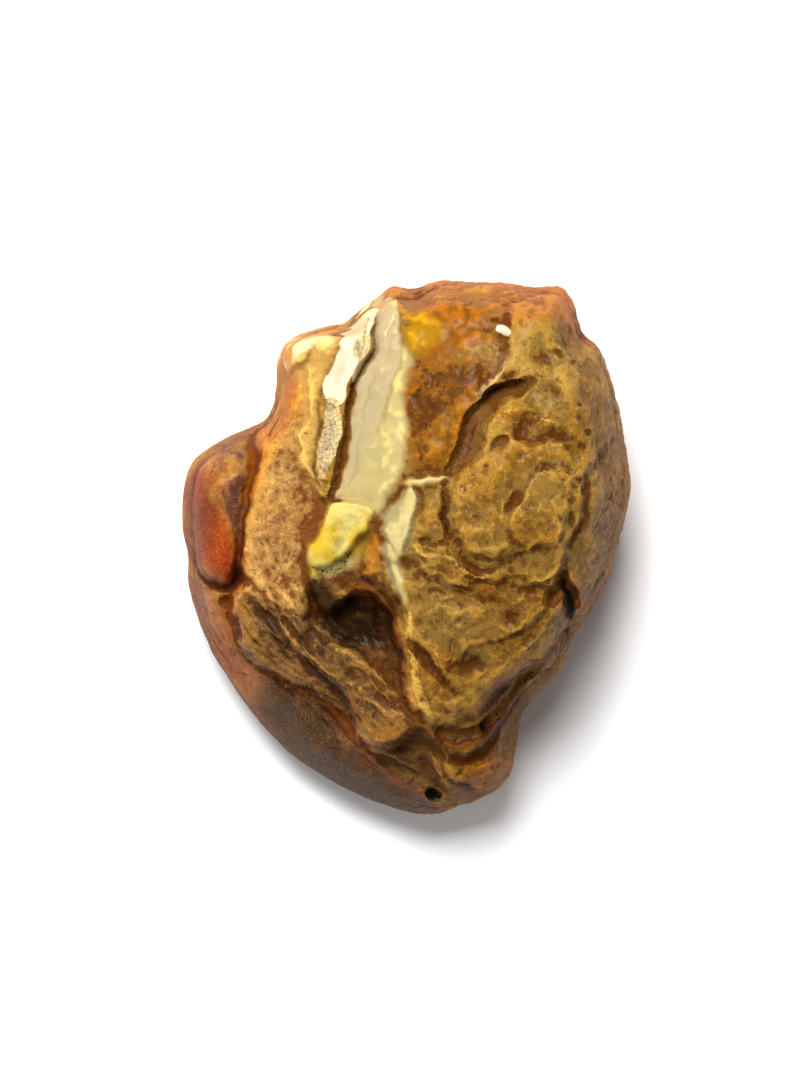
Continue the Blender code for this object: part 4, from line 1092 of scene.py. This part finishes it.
seams = np.clip(1 - np.abs(fractal(points, 5.0, 4, 51.0)) / 0.12, 0, 1)
seams *= np.clip(0.4 + 1.5 * fractal(points, 9.0, 2, 61.0), 0, 1)
in_break = area(paint_x, paint_y, FRESH, 1.5)
sunk += on_dome * (0.16 - 0.12 * bumps + 0.18 * seams) * (1 - 0.8 * in_break)
points -= normals * np.clip(sunk, 0, DEEPEST_RELIEF)[:, None] * np.clip(points[:, 2:] / 2, 0, 1)
set_points(nugget_mesh, points * MM)


def hollowness(points, normals, ends, times):
    """How far each point lies below the mean of those around it, along its normal.

    The more times the mean is taken, the wider the hollows that it finds.
    """
    mean = np.stack([neighbour_mean(column, ends, times) for column in points.T], 1)
    return ((mean - points) * normals).sum(1)


# What lies low, stands out and is steep, for the painted shade in hollows and on steep sides and
# the painted highlights on ridges. The pale patches run out on the outer walls
NARROW = 10
WIDE = 120
ends = edge_ends(nugget_mesh)
normals = point_normals(nugget_mesh)
narrow = hollowness(points, normals, ends, NARROW)
wide = hollowness(points, normals, ends, WIDE)
hollow = 0.5 * (1 + 0.25 * on_dome) * narrow / 0.06 + 0.8 * (1 - 0.85 * on_dome) * wide / 0.45
hollow = np.clip(hollow - 0.26 * on_dome, 0, 1) * (1 - 0.2 * on_dome)
undarkened = strongest("cream", "butter", "plum", "ivory", "crackle", "honey", "jade", "lemon")
patches["hollow"] = hollow * (1 - 0.4 * patches["steps"]) * (1 - 0.75 * undarkened)
patches["ridge_highlight"] = np.clip(-0.3 * narrow / 0.05 - 0.8 * wide / 0.4, 0, 1)
patches["flank"] = np.clip(1 - 1.5 * normals[:, 2], 0, 1)
upward = np.clip(normals[:, 2] * 2 + 0.6, 0, 1)
level = neighbour_mean(normals[:, 2], ends, 40)
facing_up = np.clip(3 * level + 0.1 + 1.2 * fractal(points, 4.0, 3, 71.0), 0, 1)
PALE = (
    "cream", "butter", "ivory", "crackle", "milk", "lemon", "jade", "chip", "wood", "splinter", "glow",
    "honey",
)
# those that cover the underside too
EVERYWHERE = ("left", "lobe", "skin", "hollow", "ridge_highlight", "smoke", "flank")
for name, value in patches.items():
    if name in PALE:
        value = value * np.minimum(upward, facing_up)
    elif name not in EVERYWHERE:
        value = value * upward
    layer = nugget_mesh.attributes.new(name, "FLOAT", "POINT")
    layer.data.foreach_set("value", value.astype(np.float32))


# The material: weathered amber, a thin crust in many ochres and browns over clear orange resin. Each
# patch is laid over those before it, its border broken up by grain
amber = bpy.data.materials.new("weathered_amber")
amber.use_nodes = True
tree = amber.node_tree
surface = tree.nodes["Principled BSDF"]


def add(kind, inputs=None, **settings):
    """A node of the tree, with each named input either set or linked."""
    node = tree.nodes.new("ShaderNode" + kind)
    for name, value in settings.items():
        setattr(node, name, value)
    for name, value in (inputs or {}).items():
        if isinstance(value, bpy.types.NodeSocket):
            tree.links.new(value, node.inputs[name])
        else:
            node.inputs[name].default_value = value
    return node


LIT = 1.65  # how many times brighter than its own colour a level surface looks in this light
SHINE = 0.012  # the light its shine adds


def seen(code):
    """The surface's own colour for a hex code of how it looks when level and in full light."""
    parts = [int(code[i:i + 2], 16) / 255 for i in (0, 2, 4)]
    linear = [c / 12.92 if c < 0.04045 else ((c + 0.055) / 1.055) ** 2.4 for c in parts]
    return tuple(min(max(c - SHINE, 0.003) / LIT, 0.9) for c in linear) + (1.0,)


def speckle(where, grain_mm, detail=3.0, rough=0.6, seed=0.0):
    """Noise of the given grain, about 0 to 1."""
    moved = add("VectorMath", {0: where, 1: (seed, seed, seed)}, operation="ADD").outputs[0]
    inputs = {"Vector": moved, "Scale": 1 / (grain_mm * MM), "Detail": detail, "Roughness": rough}
    return add("TexNoise", inputs).outputs[0]


def ramp(value, start, end, low=0.0, high=1.0):
    """A value mapped from start..end to low..high, levelling off softly at both ends."""
    limits = {0: value, 1: start, 2: end, 3: low, 4: high}
    return add("MapRange", limits, interpolation_type="SMOOTHSTEP").outputs[0]


def maths(operation, a, b=0.0):
    return add("Math", {0: a, 1: b}, operation=operation).outputs[0]


def blend(factor, under, over, mode="MIX"):
    """One colour laid over another. Each may be a colour or a socket."""
    node = add("Mix", data_type="RGBA", blend_type=mode, clamp_factor=True)
    for index, value in ((0, factor), (6, under), (7, over)):
        if isinstance(value, bpy.types.NodeSocket):
            tree.links.new(value, node.inputs[index])
        else:
            node.inputs[index].default_value = value
    return node.outputs[2]


def attribute(name):
    """A patch's value at the mesh's points."""
    return add("Attribute", attribute_name=name).outputs["Fac"]


def patch(name, ragged, spread=0.5, sharpness=0.2):
    """A patch's own factor, its border broken up by noise: 0 outside, 1 well inside."""
    value = attribute(name)
    push = maths("MULTIPLY", maths("SUBTRACT", ragged, 0.5), spread * 3)
    near = ramp(value, 0.0, 0.2)
    shifted = maths("ADD", value, maths("MULTIPLY", push, near))
    return ramp(shifted, 0.5 - sharpness, 0.5 + sharpness)


def mottled(name, coarse, fine, cover=0.5):
    """A patch that lies in islands and speckles. cover is about the share covered in its middle."""
    noise_sum = maths("ADD", maths("MULTIPLY", coarse, 0.55), maths("MULTIPLY", fine, 0.45))
    level = maths("MULTIPLY", attribute(name), 0.28 + 0.4 * cover)
    return ramp(maths("ADD", noise_sum, level), 0.93, 1.03)


where = add("TexCoord").outputs["Object"]
broad = speckle(where, 9.0, 4.0, 0.6)
middling = speckle(where, 2.8, 5.0, 0.7, seed=0.31)
small = speckle(where, 1.1, 5.0, 0.75, seed=0.47)
fine = speckle(where, 0.45, 4.0, 0.8, seed=0.73)
dust = speckle(where, 0.2, 2.0, 0.8, seed=0.17)

# the dome's crust: mustard, in clouds, with light grains and fine brown flecks
mustard = blend(ramp(broad, 0.4, 0.6), seen("946628"), seen("AC8440"))
mustard = blend(ramp(middling, 0.5, 0.66, 0, 0.55), mustard, seen("84521F"))
mustard = blend(ramp(small, 0.52, 0.7, 0, 0.6), mustard, seen("D8B468"))
mustard = blend(ramp(fine, 0.56, 0.66, 0, 0.6), mustard, seen("74441C"))
mustard = blend(ramp(dust, 0.54, 0.68, 0, 0.4), mustard, seen("DCBC70"))
# the grainy orange-brown of the left side, lighter along its edge
left = blend(ramp(broad, 0.38, 0.62), seen("C88E4A"), seen("E0A85E"))
left = blend(ramp(middling, 0.48, 0.66, 0, 0.7), left, seen("A86636"))
left = blend(ramp(fine, 0.5, 0.66, 0, 0.6), left, seen("E4BC84"))
left = blend(ramp(dust, 0.54, 0.68, 0, 0.6), left, seen("8A542A"))
look = blend(patch("left", middling), mustard, left)
look = blend(patch("honey", middling, 0.3, 0.4), look, seen("F4BE64"))
# the rosy cap and the left lobe's skin
rosy = blend(ramp(middling, 0.45, 0.65), seen("B87636"), seen("A8642C"))
rosy = blend(ramp(fine, 0.5, 0.68, 0, 0.6), rosy, seen("C88A48"))
look = blend(patch("rosy", middling, 0.4, 0.4), look, rosy)
skin = blend(ramp(middling, 0.42, 0.6), seen("B88440"), seen("9A5A34"))
skin = blend(ramp(fine, 0.52, 0.68, 0, 0.6), skin, seen("844834"))
look = blend(patch("skin", middling, 0.2), look, skin)
# the smooth lobe: brown, smoky in its middle, darkened to plum-brown on its steep rim as painted
# shade, and with light specks painted as glints
lobe = blend(ramp(broad, 0.35, 0.65), seen("BC6834"), seen("DC8E56"))
lobe = blend(ramp(small, 0.45, 0.7, 0, 0.65), lobe, seen("8E5038"))
lobe = blend(patch("smoke", middling, 0.3, 0.5), lobe, seen("5A402C"))
lobe = blend(ramp(attribute("flank"), 0.2, 0.9, 0, 0.9), lobe, seen("4A2C26"))
lobe = blend(ramp(fine, 0.54, 0.68, 0, 0.5), lobe, seen("6A4028"))
lobe = blend(ramp(dust, 0.54, 0.66, 0, 0.7), lobe, seen("B8946A"))
# the steps: brown, tan and grey, with light and dark grains
steps = blend(ramp(middling, 0.4, 0.62), seen("8C6238"), seen("6E4C30"))
steps = blend(patch("tan", middling, 0.3, 0.5), steps, seen("976A34"))
steps = blend(ramp(small, 0.52, 0.7, 0, 0.6), steps, seen("A07A4A"))
steps = blend(ramp(fine, 0.52, 0.66, 0, 0.7), steps, seen("54391F"))
steps = blend(ramp(dust, 0.56, 0.68, 0, 0.6), steps, seen("D0B490"))
steps = blend(ramp(attribute("ash"), 0.1, 0.9, 0, 0.6), steps, seen("5C4A32"))
look = blend(patch("steps", small, 0.4), look, steps)
look = blend(patch("lobe", small, 0.2, 0.15), look, lobe)
# red-orange skin, and resin that shines through
ember = blend(ramp(small, 0.4, 0.7), seen("8C3600"), seen("A04C08"))
ember = blend(ramp(dust, 0.54, 0.68, 0, 0.5), ember, seen("D08A4C"))
look = blend(patch("ember", middling, 0.4, 0.45), look, ember)
look = blend(patch("orange", middling, 0.2, 0.45), look, seen("A06008"))
look = blend(patch("glow", middling, 0.2, 0.5), look, seen("E08A2C"))
look = blend(patch("amber", middling, 0.15, 0.5), look, seen("C48E14"))
# brown skins and stains, and plum-brown painted shade in recesses
look = blend(patch("rust", middling, 0.4, 0.45), look, seen("96601F"))
look = blend(mottled("rust", middling, fine, 0.5), look, seen("B8762A"))
look = blend(ramp(attribute("umber"), 0.2, 0.8, 0, 0.75), look, seen("A8661F"))
look = blend(mottled("umber", middling, fine, 0.62), look, seen("744620"))
look = blend(mottled("umber", small, dust, 0.3), look, seen("4E3018"))
look = blend(mottled("stain", middling, fine, 0.5), look, seen("84541F"))
look = blend(ramp(attribute("plum"), 0.3, 1.0, 0, 0.5), look, seen("8A5A46"))
look = blend(mottled("plum", small, fine, 0.6), look, seen("6E463A"))
# painted shade: the arch's underside and the hollows under the lips, what lies in its shade, and
# the pocket, whose near-black floor is partly its own colour and partly painted shade
look = blend(patch("arch", small, 0.4, 0.4), look, seen("70451F"))
look = blend(ramp(attribute("dark"), 0.1, 1.0, 0, 0.45), look, seen("54391F"))
look = blend(mottled("dark", small, fine, 0.35), look, seen("3A2A1A"))
look = blend(patch("pocket", small, 0.35, 0.4), look, seen("46321E"))
look = blend(mottled("pocket", middling, fine, 0.4), look, seen("30241A"))
# worn yellow edges, one of them a painted highlight along the plate's upper-left edge, and thin
# light rims painted as highlights along ledge edges
look = blend(mottled("worn", middling, fine, 0.8), look, seen("DDB258"))
edge_highlights = maths("MULTIPLY", patch("edge_highlights", fine, 0.45, 0.4), ramp(middling, 0.4, 0.56, 0, 0.7))
look = blend(edge_highlights, look, seen("CC9E58"))
# fresh faces: greenish, yellow, cream and ivory
look = blend(patch("jade", middling, 0.3, 0.35), look, seen("C2B280"))
yellow = blend(ramp(broad, 0.42, 0.58), seen("CCAC3C"), seen("DCCB80"))
look = blend(patch("lemon", middling, 0.2, 0.45), look, yellow)
look = blend(patch("cream", middling, 0.12, 0.2), look, seen("D6C192"))
look = blend(patch("butter", broad, 0.2, 0.5), look, seen("DECA88"))
look = blend(patch("milk", middling, 0.2, 0.4), look, seen("F6E6B8"))
look = blend(patch("ivory", small, 0.15, 0.1), look, seen("F0E4C6"))
# the crackled strip, the splinter, the fibrous chip and the brown foot
cells = add("TexVoronoi", {"Vector": where, "Scale": 1 / (0.6 * MM)}, feature="DISTANCE_TO_EDGE")
strip = blend(ramp(broad, 0.45, 0.6), seen("EAD2A4"), seen("D2A868"))
strip = blend(ramp(cells.outputs["Distance"], 0.0, 0.09), seen("9A7444"), strip)
look = blend(patch("crackle", small, 0.15, 0.1), look, strip)
look = blend(patch("splinter", small, 0.2, 0.2), look, seen("C8A878"))
fibres = add("TexWave", {"Vector": where, "Scale": 0.9 / MM, "Distortion": 14.0, "Detail": 3.0})
chip = blend(ramp(fibres.outputs["Fac"], 0.1, 0.7), seen("BEA274"), seen("DCCCA2"))
look = blend(patch("chip", small, 0.2, 0.2), look, chip)
look = blend(patch("wood", small, 0.3, 0.3), look, seen("946C3C"))
# which parts are pale, wet and clear
pale = maths("MAXIMUM", patch("ivory", small, 0.1, 0.2), attribute("jade"))
wet = maths("MAXIMUM", patch("milk", middling), patch("lemon", middling))
clear = maths("MAXIMUM", attribute("cream"), attribute("butter"))
clear = maths("MAXIMUM", wet, maths("MAXIMUM", clear, attribute("orange")))
# painted shade and highlights: browner in hollows and darker and warmer on steep sides as painted
# shade, lighter on ridges as painted highlights, and darker towards the lower end as painted shade
hollow = maths("MULTIPLY", attribute("hollow"), ramp(small, 0.2, 0.6, 0.6, 1.0))
look = blend(ramp(hollow, 0.05, 0.8, 0, 0.9), look, (0.42, 0.22, 0.1, 1), "MULTIPLY")
raised = maths("MULTIPLY", attribute("ridge_highlight"), ramp(fine, 0.3, 0.6, 0.5, 1.0))
look = blend(ramp(raised, 0.1, 0.8, 0, 0.9), look, (1, 0.93, 0.7, 1), "SOFT_LIGHT")
steep = maths("MULTIPLY", attribute("flank"), ramp(attribute("lobe"), 0, 1, 1, 0.45))
look = blend(steep, look, (0.97, 0.63, 0.2, 1), "MULTIPLY")
along = add("SeparateXYZ", {0: where}).outputs["Y"]
look = blend(ramp(along, -2 * MM, -20 * MM), look, (0.92, 0.86, 0.78, 1), "MULTIPLY")
# brown pits, black specks, and painted shade in black in the cracks and holes
pitted = maths("ADD", maths("MULTIPLY", small, 0.6), maths("MULTIPLY", broad, 0.4))
pitted = maths("MULTIPLY", ramp(pitted, 0.565, 0.6), ramp(fine, 0.42, 0.54))
pitted = maths("MULTIPLY", pitted, maths("SUBTRACT", 0.9, maths("MAXIMUM", clear, pale)))
look = blend(maths("MULTIPLY", pitted, 0.85), look, seen("74401C"))
look = blend(mottled("specks", small, dust, 0.45), look, seen("2C261C"))
look = blend(patch("deep_shade", fine, 0.3, 0.2), look, seen("20140C"))
# painted highlights: tiny golden glints in the grainy skins
glint_cells = add("TexVoronoi", {"Vector": where, "Scale": 1 / (0.4 * MM)})
glint = maths("MULTIPLY", ramp(glint_cells.outputs["Distance"], 0.4, 0.15), ramp(fine, 0.5, 0.62))
grainy = maths("SUBTRACT", maths("MAXIMUM", attribute("left"), attribute("lobe")), pale)
grainy = maths("MAXIMUM", grainy, attribute("skin"))
grainy = maths("SUBTRACT", grainy, attribute("hollow"))
grainy = maths("SUBTRACT", grainy, attribute("pocket"))
glint = maths("MULTIPLY", glint, maths("MULTIPLY", grainy, 0.8))
look = blend(glint, look, (1.0, 0.82, 0.55, 1), "OVERLAY")
look = blend(maths("MULTIPLY", glint, 0.3), look, seen("F0D8A8"))
tree.links.new(look, surface.inputs["Base Color"])

# gloss: as of worn resin, duller in hollows and on steep sides
gloss = ramp(dust, 0.46, 0.64, 0.44, 0.18)
dull = maths("SUBTRACT", gloss, maths("MULTIPLY", wet, 0.2))
for name, share in (("hollow", 0.5), ("flank", 0.4), ("deep_shade", 0.5), ("pocket", 0.25)):
    dull = maths("ADD", dull, maths("MULTIPLY", attribute(name), share))
tree.links.new(dull, surface.inputs["Roughness"])
surface.inputs["IOR"].default_value = 1.3
surface.inputs["Specular IOR Level"].default_value = 0.3
surface.inputs["Specular Tint"].default_value = (1.0, 0.8, 0.5, 1)
tree.links.new(maths("ADD", maths("MULTIPLY", clear, 0.45), 0.08), surface.inputs["Subsurface Weight"])
surface.inputs["Subsurface Radius"].default_value = (1.0, 0.5, 0.15)
surface.inputs["Subsurface Scale"].default_value = 2.0 * MM
surface.inputs["Coat Weight"].default_value = 0.05
surface.inputs["Coat Roughness"].default_value = 0.12
# the finest grain
relief = maths("ADD", maths("MULTIPLY", small, 0.6), maths("MULTIPLY", fine, 0.5))
relief = maths("ADD", relief, maths("MULTIPLY", dust, 0.3))
calm = maths("MAXIMUM", maths("MAXIMUM", clear, pale), attribute("amber"))
bumpy = maths("SUBTRACT", 1.0, maths("MULTIPLY", calm, 0.85))
bump = add("Bump", {"Strength": maths("MULTIPLY", bumpy, 0.85), "Distance": 0.5 * MM, "Height": relief})
tree.links.new(bump.outputs[0], surface.inputs["Normal"])

nugget_mesh.materials.clear()
nugget_mesh.materials.append(amber)
nugget_mesh.shade_smooth()
nugget = bpy.data.objects.new("nugget", nugget_mesh)
bpy.context.scene.collection.objects.link(nugget)
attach(nugget, "root")
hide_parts("amber_nugget")

# The floor: plain white card, bright enough to be white in the picture around the shadow
REACH = 1.5
corners = [(-REACH, -REACH, 0), (REACH, -REACH, 0), (REACH, REACH, 0), (-REACH, REACH, 0)]
floor_mesh = bpy.data.meshes.new("floor")
floor_mesh.from_pydata(corners, [], [(0, 1, 2, 3)])
card = bpy.data.materials.new("white_card")
card.use_nodes = True
card.node_tree.nodes["Principled BSDF"].inputs["Base Color"].default_value = (0.93, 0.93, 0.93, 1)
card.node_tree.nodes["Principled BSDF"].inputs["Roughness"].default_value = 0.9
floor_mesh.materials.append(card)
floor = bpy.data.objects.new("floor", floor_mesh)
bpy.context.scene.collection.objects.link(floor)

# The light: a large soft window high up beyond the top, a weak one from the left, and a white room
def soft_light(name, place, size, power):
    """A square lamp that shines at the middle of the floor."""
    data = bpy.data.lights.new(name, "AREA")
    data.shape = "SQUARE"
    data.size = size
    data.energy = power
    lamp = bpy.data.objects.new(name, data)
    lamp.location = place
    lamp.rotation_mode = "QUATERNION"
    lamp.rotation_quaternion = (-Vector(place)).to_track_quat("-Z", "Y")
    bpy.context.scene.collection.objects.link(lamp)


soft_light("window", (-0.12, 0.46, 0.73), 0.40, 13.2)
soft_light("wall", (-0.5, -0.3, 0.5), 0.5, 1.4)
world = bpy.data.worlds.new("white_room")
world.use_nodes = True
world.node_tree.nodes["Background"].inputs["Color"].default_value = (1, 1, 1, 1)
world.node_tree.nodes["Background"].inputs["Strength"].default_value = 0.19
bpy.context.scene.world = world
bpy.context.scene.view_settings.view_transform = "Standard"

# The camera: straight above, far enough off to see the nugget almost without perspective
PICTURE_HEIGHT = 145.7
PICTURE_MIDDLE = (-0.75, 2.12)
NUGGET_MIDDLE_HEIGHT = 15.0
camera_data = bpy.data.cameras.new("camera")
camera_data.sensor_width = 36.0
camera_data.lens = 120.0
distance = PICTURE_HEIGHT * camera_data.lens / camera_data.sensor_width
camera = bpy.data.objects.new("camera", camera_data)
camera.location = Vector((*PICTURE_MIDDLE, NUGGET_MIDDLE_HEIGHT + distance)) * MM
bpy.context.scene.collection.objects.link(camera)
bpy.context.scene.camera = camera
